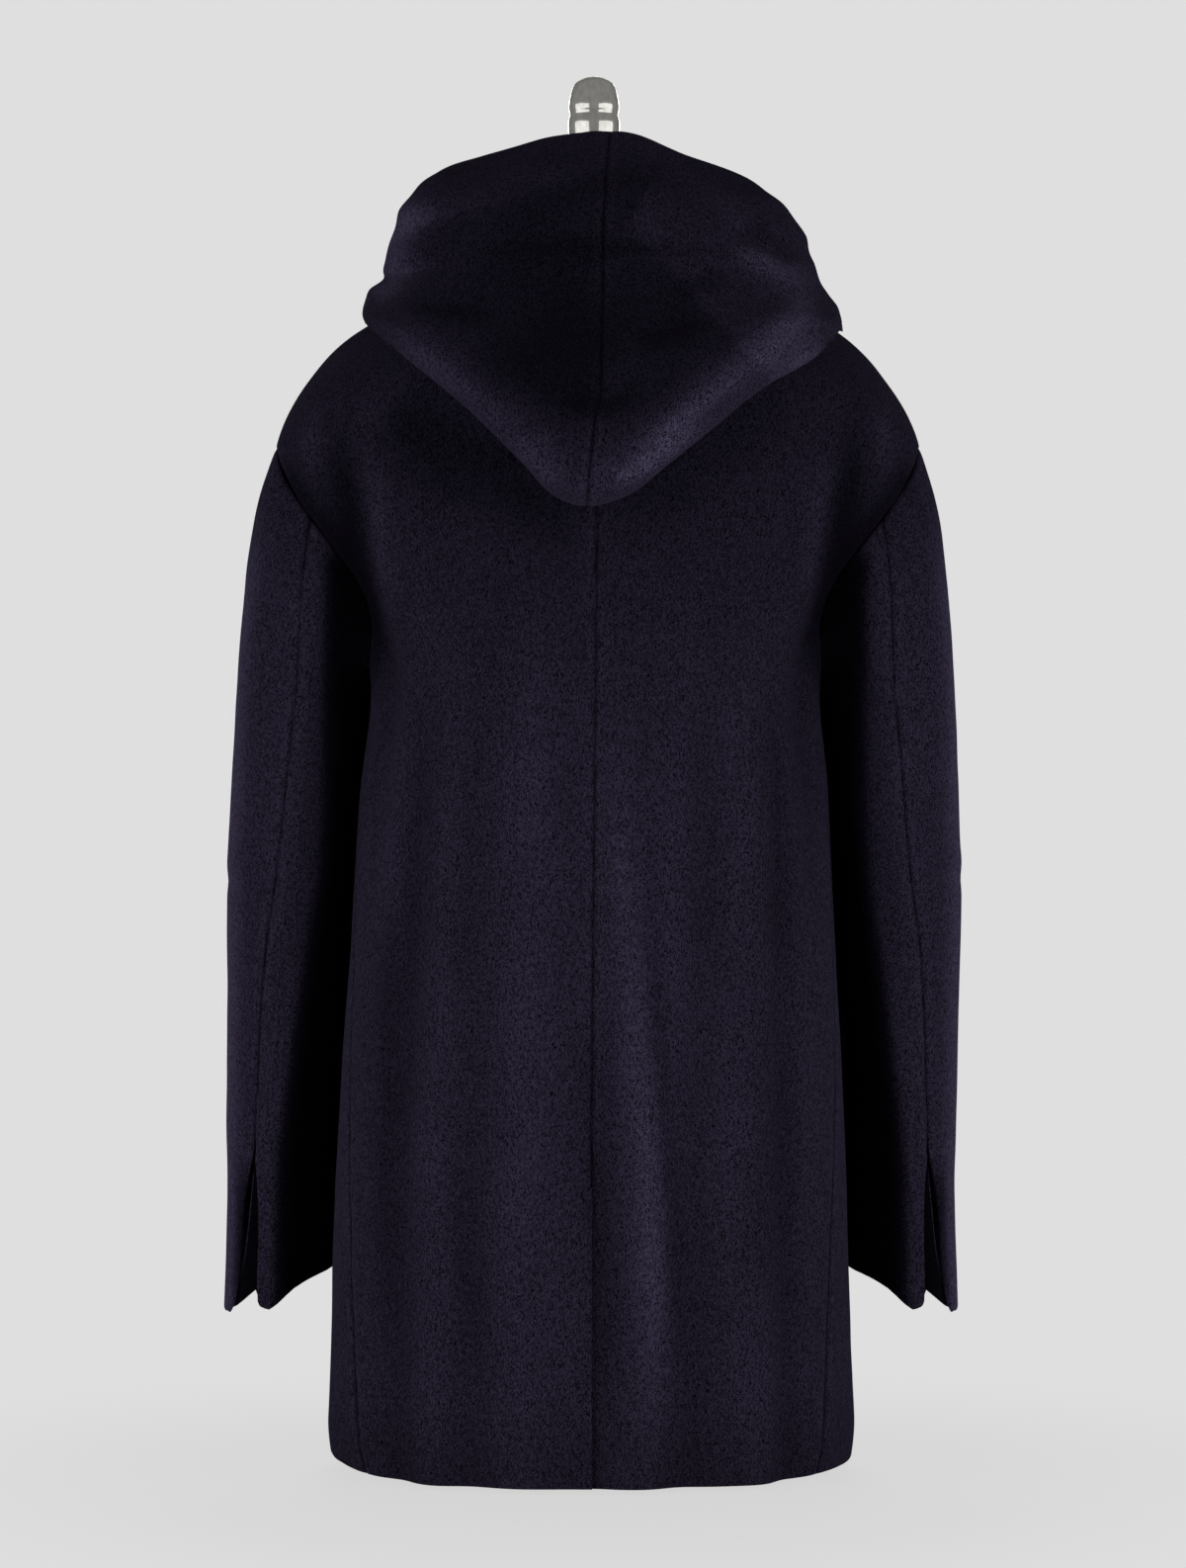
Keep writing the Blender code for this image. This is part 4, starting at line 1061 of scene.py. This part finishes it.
hoodCreases = (
    (-0.0012, 7, 0.4, (85, 922), (45, 929), (0, 930)),
    (-0.0016, 8, 0.35, (92, 883), (30, 881), (-50, 882), (-112, 886)),
    (-0.0022, 9.5, 0.35, (140, 842), (110, 836), (70, 829), (20, 827)),
    (-0.003, 9.5, 0.4, (-22, 812), (-56, 819), (-88, 834)),
    (-0.0018, 7.5, 0.4, (-46, 848), (-74, 853), (-104, 863)),
    (-0.0045, 10, 0.35, (30, 772), (10, 766), (-10, 766), (-46, 782)),
    (0.0036, 10, 0.3, (-30, 731), (-70, 758), (-112, 792), (-155, 836)),
    (-0.003, 7.5, 0.35, (-64, 738), (-92, 758), (-128, 788)),
    (-0.0024, 6.5, 0.35, (-92, 912), (-122, 892), (-142, 868)),
    (0.0024, 8, 0.35, (-100, 894), (-128, 872), (-152, 848)),
    (0.0016, 8, 0.35, (132, 892), (140, 872), (146, 852)),
    (-0.0012, 10, 0.4, (95, 905), (75, 880), (72, 850)),
)
# painted light and shade on the hood: painted shade on the crown and in its creases, painted light on the rolled edges
hoodPaintedShade = (
    (-0.3, 45, 0.4, (85, 900), (40, 872), (0, 850)),
    (-0.5, 38, 0.4, (50, 836), (14, 808), (-16, 786)),
    (-0.58, 160, 0.1, (40, 930), (0, 820), (-60, 860)),
    (-0.4, 20, 0.3, (88, 806), (45, 776), (0, 752)),
    (0.62, 13, 0.25, (150, 822), (100, 775), (48, 722), (8, 696)),
    (0.95, 15, 0.25, (-6, 700), (-42, 716), (-85, 742)),
    (0.5, 18, 0.2, (60, 735), (10, 702), (-50, 722)),
    (1.15, 18, 0.25, (128, 925), (142, 895), (148, 860), (160, 838)),
    (0.52, 18, 0.35, (-108, 894), (-128, 876), (-148, 853), (-162, 836)),
    (-0.45, 9, 0.35, (-106, 914), (-134, 894), (-150, 870)),
    (0.3, 10, 0.35, (-95, 894), (-122, 874), (-150, 850)),
    (1.35, 13, 0.25, (-30, 716), (-52, 742), (-98, 786), (-134, 818), (-165, 842)),
    (0.35, 18, 0.25, (10, 712), (60, 757), (110, 800), (150, 838)),
    (1.3, 11, 0.2, (-50, 722), (-75, 736), (-108, 760), (-140, 786), (-168, 815)),
    (1.4, 9, 0.3, (-18, 705), (-40, 716), (-66, 731)),
    (0.6, 11, 0.3, (62, 737), (38, 717), (16, 703)),
    (-0.35, 6, 0.4, (-70, 746), (-86, 757), (-104, 772)),
    (-0.62, 11, 0.4, (26, 772), (8, 766), (-12, 766), (-40, 780)),
    (-0.55, 12, 0.4, (-22, 808), (-52, 816), (-80, 830)),
    (-0.42, 9, 0.4, (-46, 846), (-74, 852), (-100, 862)),
    (-0.42, 7, 0.4, (135, 840), (100, 834), (60, 829)),
    (-0.34, 8, 0.4, (88, 882), (30, 880), (-50, 881), (-105, 886)),
    (0.3, 12, 0.4, (60, 960), (0, 972), (-60, 952)),
    (0.25, 12, 0.35, (-60, 945), (-95, 925), (-118, 902)),
)


def throughPoints(points, count):
    fine = rowAt(points, np.linspace(0, len(points) - 1, 12 * len(points)))
    length = np.concatenate([[0], np.cumsum(np.linalg.norm(np.diff(fine, axis=0), axis=1))])
    wanted = np.linspace(0, length[-1], count)
    return np.stack([np.interp(wanted, length, fine[:, axis]) for axis in range(3)], -1)


def keptOff(points, samples, waysOut, tree, gaps):
    moved = points.copy()
    for number, point in enumerate(points):
        nearest = tree.find(point)[1]
        clear = np.dot(point - samples[nearest], waysOut[nearest])
        moved[number] += waysOut[nearest] * max(gaps[number] - clear, 0)
    return moved


def hoodSection(side, row, samples, waysOut, tree):
    wide = np.array((hoodShape["wider"][side], 1, 1))
    sag = np.array((0, 0, softTable(hoodShape["sag"][side], row[0], 8, 7)))
    rim, belly, middle = row[1:4] * wide, row[4:7] * wide - sag * 0.5, row[7:10] * wide - sag
    radius, leave, leaveTurn = row[10], row[11], row[12]
    out = np.array((middle[0], middle[1], 0)) / math.hypot(middle[0], middle[1]) * radius
    down = np.array((0, 0, -radius))
    surface = partial(bodyPoint, side)
    under = []
    for part in hoodShape["under"]:
        up = np.array(leave + (hoodShape["neckUp"] - leave) * part)
        turn = np.array(math.radians(leaveTurn + (row[0] - leaveTurn) * part))
        lift = hoodShape["lift"]["leave"] + (hoodShape["lift"]["neck"] - hoodShape["lift"]["leave"]) * part
        under.append(surface(turn, up) + normalsOf(surface, turn, up) * lift)
    crown = (rim + belly) / 2 + np.array((belly[0], 1, 1)) * hoodShape["crown"]
    roll = [middle + out * outs + down * downs for outs, downs in hoodShape["roll"]]
    count = hoodShape["points"]
    share, full, fades = hoodShape["bag"]
    bag = belly + (roll[0] - belly) * share + out / radius * full * ease(abs(row[0]), fades, 5)
    section = throughPoints([rim, crown, belly, bag, *roll, *under], count)
    neckPoints = hoodShape["neckPoints"]
    gaps = [hoodShape["lift"]["off"]] * (count - neckPoints) + [hoodShape["lift"]["neck"]] * neckPoints
    return keptOff(section, samples, waysOut, tree, gaps)


def buildHood(side):
    surface = partial(bodyPoint, side)
    turns, ups = np.meshgrid(np.linspace(0, math.pi, 121), np.linspace(*hoodShape["coatRows"], 81), indexing="ij")
    samples = surface(turns, ups).reshape(-1, 3)
    waysOut = normalsOf(surface, turns, ups).reshape(-1, 3)
    tree = treeOf(samples)
    count = hoodShape["points"]
    last = len(hoodShape["rows"]) - 1
    fine, steps = hoodShape["fineStart"]
    shares = np.concatenate([1 + np.linspace(0, fine, steps)[:-1], np.linspace(1 + fine, last, hoodShape["sections"])])
    rows = [rowAt(hoodShape["rows"], share) for share in shares]
    plain = np.array([hoodSection(side, row, samples, waysOut, tree) for row in rows])
    drop = softTable(hoodShape["crestDrop"][side], plain[..., 0], 0.010, 7)
    drop = drop * ease(plain[..., 2], *hoodShape["crestHeights"])
    heights, moves = np.array(hoodShape["seamSway"]).T
    sway = np.interp(plain[..., 2], heights, moves) * np.exp(-((plain[..., 0] / hoodShape["swayWidth"]) ** 2))
    sway *= (np.arange(count) < count * hoodShape["swayShare"])[None, :]
    out = gridNormals(plain)
    out *= np.sign(out[hoodShape["facesBack"]][1])
    out[0, :, 0] = 0
    out = unit(out)
    world = placed(side, plain)
    outside = np.linspace(1, 0, count)
    shows = ease(outside, *hoodShape["shows"])[None, :] * ease(out[..., 1], -0.1, 0.25)
    height = strokes(world[..., 0], world[..., 2], hoodCreases) * shows
    # the hood's painted light and shade
    tone = strokes(world[..., 0], world[..., 2], hoodPaintedShade) * shows
    height += uneven(world, hoodShape["uneven"]) * ease(outside, *hoodShape["unevenShows"])[None, :]
    away = nearTo(plain, plain[0])
    dip, shade = seamed(world, away, *seamLooks["hood"])
    height += dip
    tone += shade
    outer = plain + out * height[..., None]
    level = (plain[..., 2] - drop) * 1000
    moved = sum(deep * np.exp(-(((level - at) / reach) ** 2)) for at, reach, deep in hoodShape["drawnIn"][side]) / 1000
    outer[..., 0] -= moved * ease(plain[..., 0], *hoodShape["drawnFrom"])
    outer[..., 2] -= drop
    outer[..., 0] += sway * (1 if side == "left" else -1)
    thick = inwardOf(outer, out)
    thick[0, :, 0] = 0
    thick = unit(thick)
    outer[..., 0] += cloth["seamGap"] / 2
    inner = outer + thick * cloth["wall"]
    rounds = (0, 0, cloth["roundEdge"], cloth["roundEdge"])
    piece = clothPiece("wool_hood_" + side, side, outer, inner, rounds, wool, np.exp(tone))
    finishCloth(piece, "hood_" + side)


for side in ("left", "right"):
    buildHood(side)
print("hood built")


# the dress form and its stand
formShape = {
    # sideX, sideZ, backY, backZ, frontY, frontZ, blunt of the rings below the shoulders and of those of the neck
    "lower": (
        (0.1450, 0.180, 0.0930, 0.180, -0.0950, 0.180, 2.1),
        (0.1520, 0.190, 0.0980, 0.190, -0.1000, 0.190, 2.1),
        (0.1540, 0.270, 0.0990, 0.270, -0.1000, 0.270, 2.1),
        (0.1420, 0.370, 0.0880, 0.370, -0.0900, 0.370, 2.1),
        (0.1230, 0.470, 0.0740, 0.470, -0.0830, 0.470, 2.1),
        (0.1330, 0.560, 0.0780, 0.560, -0.0970, 0.560, 2.1),
        (0.1430, 0.650, 0.0840, 0.650, -0.1010, 0.650, 2.2),
        (0.1560, 0.730, 0.0850, 0.730, -0.0930, 0.715, 2.2),
        (0.1650, 0.785, 0.0800, 0.785, -0.0860, 0.762, 2.2),
    ),
    "shoulders": (10.0, 10.7, 11.4, 12.0),
    "inside": 0.0076,  # how far under the coat's outer face the shoulders lie
    "neck": (
        (0.0590, 0.879, 0.0500, 0.872, -0.0600, 0.842, 2.0),
        (0.0510, 0.893, 0.0450, 0.890, -0.0530, 0.872, 2.0),
        (0.0480, 0.925, 0.0440, 0.925, -0.0500, 0.925, 2.0),
    ),
    "sides": 96,
    "between": 5,
}


def buildForm():
    turns = -np.linspace(0, 2 * math.pi, formShape["sides"], endpoint=False)
    rings = [ringPoint([row, row], turns, np.zeros_like(turns))[0] for row in formShape["lower"]]
    short = np.arccos(np.cos(turns))
    for up in formShape["shoulders"]:
        halves = []
        for side in ("left", "right"):
            surface = partial(bodyPoint, side)
            level = np.full(turns.shape, up)
            point = surface(short, level) - normalsOf(surface, short, level) * formShape["inside"]
            halves.append(placed(side, point))
        rings.append(np.where((np.sin(turns) >= 0)[:, None], halves[0], halves[1]))
    rings += [ringPoint([row, row], turns, np.zeros_like(turns))[0] for row in formShape["neck"]]
    rings = np.array(rings)
    levels = np.linspace(0, len(rings) - 1, (len(rings) - 1) * formShape["between"] + 1)
    fine = rowAt(rings.reshape(len(rings), -1), levels).reshape(len(levels), -1, 3)
    count = formShape["sides"]
    faces = [list(range(count)), list(range((len(levels) - 1) * count, len(levels) * count))]
    for level in range(len(levels) - 1):
        for step in range(count):
            low = level * count
            after = (step + 1) % count
            faces.append([low + step, low + after, low + count + after, low + count + step])
    mesh = bpy.data.meshes.new("jersey_form")
    mesh.from_pydata(fine.reshape(-1, 3).tolist(), [], faces)
    shape = bmesh.new()
    shape.from_mesh(mesh)
    bmesh.ops.recalc_face_normals(shape, faces=shape.faces)
    shape.to_mesh(mesh)
    shape.free()
    piece = bpy.data.objects.new("jersey_form", mesh)
    bpy.context.scene.collection.objects.link(piece)
    mesh.materials.append(formJersey)
    mesh.shade_smooth()
    mesh.set_sharp_from_angle(angle=math.radians(50))
    settle(piece, "form_torso")


def turnedPiece(name, profile, sides, material, sharp=35):  # radius and height of each step up its side
    bpy.ops.object.select_all(action="DESELECT")
    radius, height = profile[0]
    bpy.ops.mesh.primitive_circle_add(vertices=sides, radius=radius, fill_type="NGON", location=(0, 0, height))
    piece = bpy.context.object
    piece.name = name
    piece.data.name = name
    bpy.ops.object.transform_apply(location=True, rotation=True, scale=True)
    bpy.ops.object.mode_set(mode="EDIT")
    bpy.ops.mesh.select_all(action="SELECT")
    for (radius, height), (nextRadius, nextHeight) in zip(profile, profile[1:]):
        bpy.ops.mesh.extrude_region_move(TRANSFORM_OT_translate={"value": (0, 0, nextHeight - height)})
        share = nextRadius / radius
        bpy.ops.transform.resize(value=(share, share, 1), center_override=(0, 0, nextHeight))
    bpy.ops.mesh.select_all(action="SELECT")
    bpy.ops.mesh.normals_make_consistent(inside=False)
    bpy.ops.object.mode_set(mode="OBJECT")
    bpy.ops.object.shade_smooth_by_angle(angle=math.radians(sharp))
    piece.data.materials.append(material)
    return piece


standShape = {
    # radius and height of each step
    "cap": ((0.0452, 0.9252), (0.0460, 0.9262), (0.0460, 0.9292), (0.0445, 0.9325), (0.0390, 0.9365), (0.0290, 0.9420),
            (0.0200, 0.9470), (0.0162, 0.9530), (0.0158, 0.9590), (0.0166, 0.9650), (0.0181, 0.9695), (0.0186, 0.9730),
            (0.0188, 0.9775), (0.0186, 0.9808), (0.0180, 0.9830), (0.0176, 0.9850), (0.0178, 0.9868), (0.0182, 0.9885),
            (0.01835, 0.9910), (0.0181, 0.9942), (0.0175, 0.9974), (0.0168, 1.0006), (0.0158, 1.0042), (0.0138, 1.0078),
            (0.0110, 1.0100), (0.0070, 1.0118), (0.0025, 1.0128)),
    "capSides": 64,
    "poleSides": 48,
    "baseSides": 96,
    "pole": ((0.0120, 0.0163), (0.0125, 0.0168), (0.0125, 0.1792), (0.0120, 0.1797)),
    "base": ((0.0965, 0.0), (0.0992, 0.0008), (0.1000, 0.0022), (0.1000, 0.0052), (0.0993, 0.0068), (0.0975, 0.0078),
             (0.0600, 0.0096), (0.0310, 0.0106), (0.0275, 0.0118), (0.0262, 0.0140), (0.0255, 0.0158),
             (0.0245, 0.0160)),
}


def buildStand():
    cap = standShape["cap"]
    steps = rowAt(cap, np.linspace(0, len(cap) - 1, 3 * len(cap) - 2)).tolist()
    neckCap = turnedPiece("chrome_neck_cap", steps, standShape["capSides"], chrome, 60)
    settle(neckCap, "neck_cap")
    pole = turnedPiece("stand_pole", standShape["pole"], standShape["poleSides"], standPaint)
    settle(pole, "pole")
    base = turnedPiece("stand_base", standShape["base"], standShape["baseSides"], standPaint)
    settle(base, "base")


buildForm()
buildStand()
print("form and stand built")

buttonShape = {
    "ups": (3.55, 4.6, 5.65, 6.75),  # the body's rows that they are sewn at
    "gap": 0.0005,
    # radius and height of each step, from the back up round the rim and into the dish
    "profile": ((0.0110, 0.0), (0.0120, 0.0004), (0.0125, 0.0013), (0.0125, 0.0023), (0.0122, 0.0031), (0.0115, 0.0036),
                (0.0107, 0.0035), (0.0098, 0.0030), (0.0088, 0.0025), (0.0070, 0.0024)),
    "hole": 0.0010,
    "holesApart": 0.0020,
    "thread": 0.00042,
    "threadHeight": 0.0024,
    "threadFlat": 0.45,  # how much lower than round the loops lie
    "sides": 48,
}


def buildButtons():
    first = turnedPiece("horn_button", buttonShape["profile"], buttonShape["sides"], horn)
    apart = buttonShape["holesApart"]
    for x in (-apart, apart):
        for y in (-apart, apart):
            bpy.ops.object.select_all(action="DESELECT")
            bpy.ops.mesh.primitive_cylinder_add(vertices=16, radius=buttonShape["hole"], depth=0.01, location=(x, y, 0))
            drill = bpy.context.object
            cut = first.modifiers.new("hole", "BOOLEAN")
            cut.operation = "DIFFERENCE"
            cut.solver = "EXACT"
            cut.object = drill
            bpy.ops.object.select_all(action="DESELECT")
            bpy.context.view_layer.objects.active = first
            first.select_set(True)
            bpy.ops.object.modifier_apply(modifier="hole")
            bpy.data.objects.remove(drill)
    bpy.ops.object.shade_smooth_by_angle(angle=math.radians(35))
    threads = []
    for y in (-apart, apart):
        bpy.ops.object.select_all(action="DESELECT")
        centre = (0, y, buttonShape["threadHeight"])
        bpy.ops.mesh.primitive_torus_add(major_segments=24, minor_segments=8, major_radius=apart,
                                         minor_radius=buttonShape["thread"], location=centre,
                                         rotation=(quarter, 0, 0))
        bpy.ops.transform.resize(value=(1, 1, buttonShape["threadFlat"]), center_override=centre)
        bpy.ops.object.transform_apply(location=True, rotation=True, scale=True)
        bpy.ops.object.shade_smooth()
        thread = bpy.context.object
        thread.data.materials.append(buttonThread)
        threads.append(thread)
    bpy.ops.object.select_all(action="DESELECT")
    for piece in (*threads, first):
        piece.select_set(True)
    bpy.context.view_layer.objects.active = first
    bpy.ops.object.join()
    surface = partial(bodyPoint, "right")
    front = np.array(math.pi)
    for number, up in enumerate(buttonShape["ups"], start=1):
        level = np.array(up)
        out = normalsOf(surface, front, level)
        seat = placed("right", surface(front, level)[None])[0] + out * buttonShape["gap"]
        turnTo = Vector(out).to_track_quat("Z", "Y").to_matrix().to_4x4()
        mesh = first.data.copy()
        mesh.transform(Matrix.Translation(Vector(seat)) @ turnTo)
        mesh.name = f"horn_button_{number}"
        piece = bpy.data.objects.new(f"horn_button_{number}", mesh)
        bpy.context.scene.collection.objects.link(piece)
        settle(piece, f"button_{number}")
    bpy.data.objects.remove(first)


buildButtons()
print("buttons built")


studio = {
    "backdrop": 0.738,  # the pale grey behind the object
    "ambient": 0.02,
    "floorRadius": 9,
    "floorTone": 0.6,
    "floorShadow": (0.15, 0.75, 0.14),  # from where to where the shadow fades, and how much of it shows
    "cameraDistance": 3.45,
    "cameraHeight": 0.498,
    "cameraX": 0.0007,
    "sensor": 36,
    "viewHeight": 1.142,  # metres seen at the object's middle
    "lamps": (  # place, aim, size, power: low ones, as light thrown up by a pale floor
        ((0.95, 0.95, 0.07), (0, 0, 0.62), (0.7, 0.12), 6),
        ((-0.95, 0.95, 0.07), (0, 0, 0.62), (0.7, 0.12), 6),
        ((1.75, 1.10, 0.90), (0, 0, 0.95), (3.0, 1.1), 26),
        ((-1.75, 1.10, 0.90), (0, 0, 0.95), (3.0, 1.1), 26),
        ((0.0, -2.0, 0.90), (0, 0, 0.5), (1.4, 1.0), 45),
    ),
}


def shownToCamera(nodes, links):  # 1 for what the camera, a reflection or glass sees
    path = addNode(nodes, "LightPath")
    shown = path.outputs["Is Camera Ray"]
    for ray in ("Is Glossy Ray", "Is Transmission Ray"):
        either = addNode(nodes, "Math", operation="MAXIMUM")
        links.new(shown, either.inputs[0])
        links.new(path.outputs[ray], either.inputs[1])
        shown = either.outputs[0]
    return shown


def makeBackdrop(scene):
    scene.view_settings.view_transform = "Standard"
    world = bpy.data.worlds.new("studio")
    scene.world = world
    world.use_nodes = True
    nodes, links = world.node_tree.nodes, world.node_tree.links
    background = nodes["Background"]
    strength = addNode(nodes, "Mix", data_type="FLOAT")
    setInputs(strength, {"A": studio["ambient"], "B": studio["backdrop"]})
    links.new(shownToCamera(nodes, links), strength.inputs["Factor"])
    links.new(strength.outputs["Result"], background.inputs["Strength"])
    background.inputs["Color"].default_value = (1, 1, 1, 1)


def makeFloor():  # the camera sees it as bright as the backdrop, with a little of the shadow on it
    bpy.ops.object.select_all(action="DESELECT")
    bpy.ops.mesh.primitive_circle_add(vertices=96, radius=studio["floorRadius"], fill_type="NGON", location=(0, 0, 0))
    floor = bpy.context.object
    floor.name = "studio_floor"
    material = bpy.data.materials.new("studioFloor")
    material.use_nodes = True
    nodes, links = material.node_tree.nodes, material.node_tree.links
    nodes.clear()
    out = addNode(nodes, "OutputMaterial")
    glow = addNode(nodes, "Emission")
    glow.inputs["Strength"].default_value = studio["backdrop"]
    matt = addNode(nodes, "BsdfDiffuse")
    matt.inputs["Color"].default_value = (*[studio["floorTone"]] * 3, 1)
    shadowed = addNode(nodes, "MixShader")
    place = addNode(nodes, "TexCoord")
    ball = addNode(nodes, "VectorMath", operation="LENGTH")
    links.new(place.outputs["Object"], ball.inputs[0])
    near = addNode(nodes, "MapRange", interpolation_type="SMOOTHSTEP")
    setInputs(near, dict(zip(("From Min", "From Max", "To Min", "To Max"), (*studio["floorShadow"], 0))))
    links.new(ball.outputs["Value"], near.inputs["Value"])
    links.new(near.outputs["Result"], shadowed.inputs[0])
    links.new(glow.outputs[0], shadowed.inputs[1])
    links.new(matt.outputs[0], shadowed.inputs[2])
    choose = addNode(nodes, "MixShader")
    links.new(shownToCamera(nodes, links), choose.inputs[0])
    links.new(matt.outputs[0], choose.inputs[1])
    links.new(shadowed.outputs[0], choose.inputs[2])
    links.new(choose.outputs[0], out.inputs["Surface"])
    floor.data.materials.append(material)


def makeLamps(scene):
    for number, (place, aim, size, power) in enumerate(studio["lamps"], start=1):
        light = bpy.data.lights.new(f"softbox{number}", "AREA")
        light.shape = "RECTANGLE"
        light.size, light.size_y = size
        light.energy = power
        lamp = bpy.data.objects.new(f"softbox{number}", light)
        lamp.location = place
        lamp.rotation_euler = (Vector(aim) - Vector(place)).to_track_quat("-Z", "Y").to_euler()
        lamp.visible_camera = False
        scene.collection.objects.link(lamp)


def makeCamera(scene):
    lens = bpy.data.cameras.new("camera")
    lens.sensor_fit = "VERTICAL"
    lens.sensor_height = studio["sensor"]
    lens.lens = studio["sensor"] * studio["cameraDistance"] / studio["viewHeight"]
    lens.clip_end = 60
    camera = bpy.data.objects.new("camera", lens)
    camera.location = (studio["cameraX"], studio["cameraDistance"], studio["cameraHeight"])
    camera.rotation_euler = (quarter, 0, math.pi)
    scene.collection.objects.link(camera)
    scene.camera = camera


makeBackdrop(bpy.context.scene)
makeFloor()
makeLamps(bpy.context.scene)
makeCamera(bpy.context.scene)
print("studio ready")
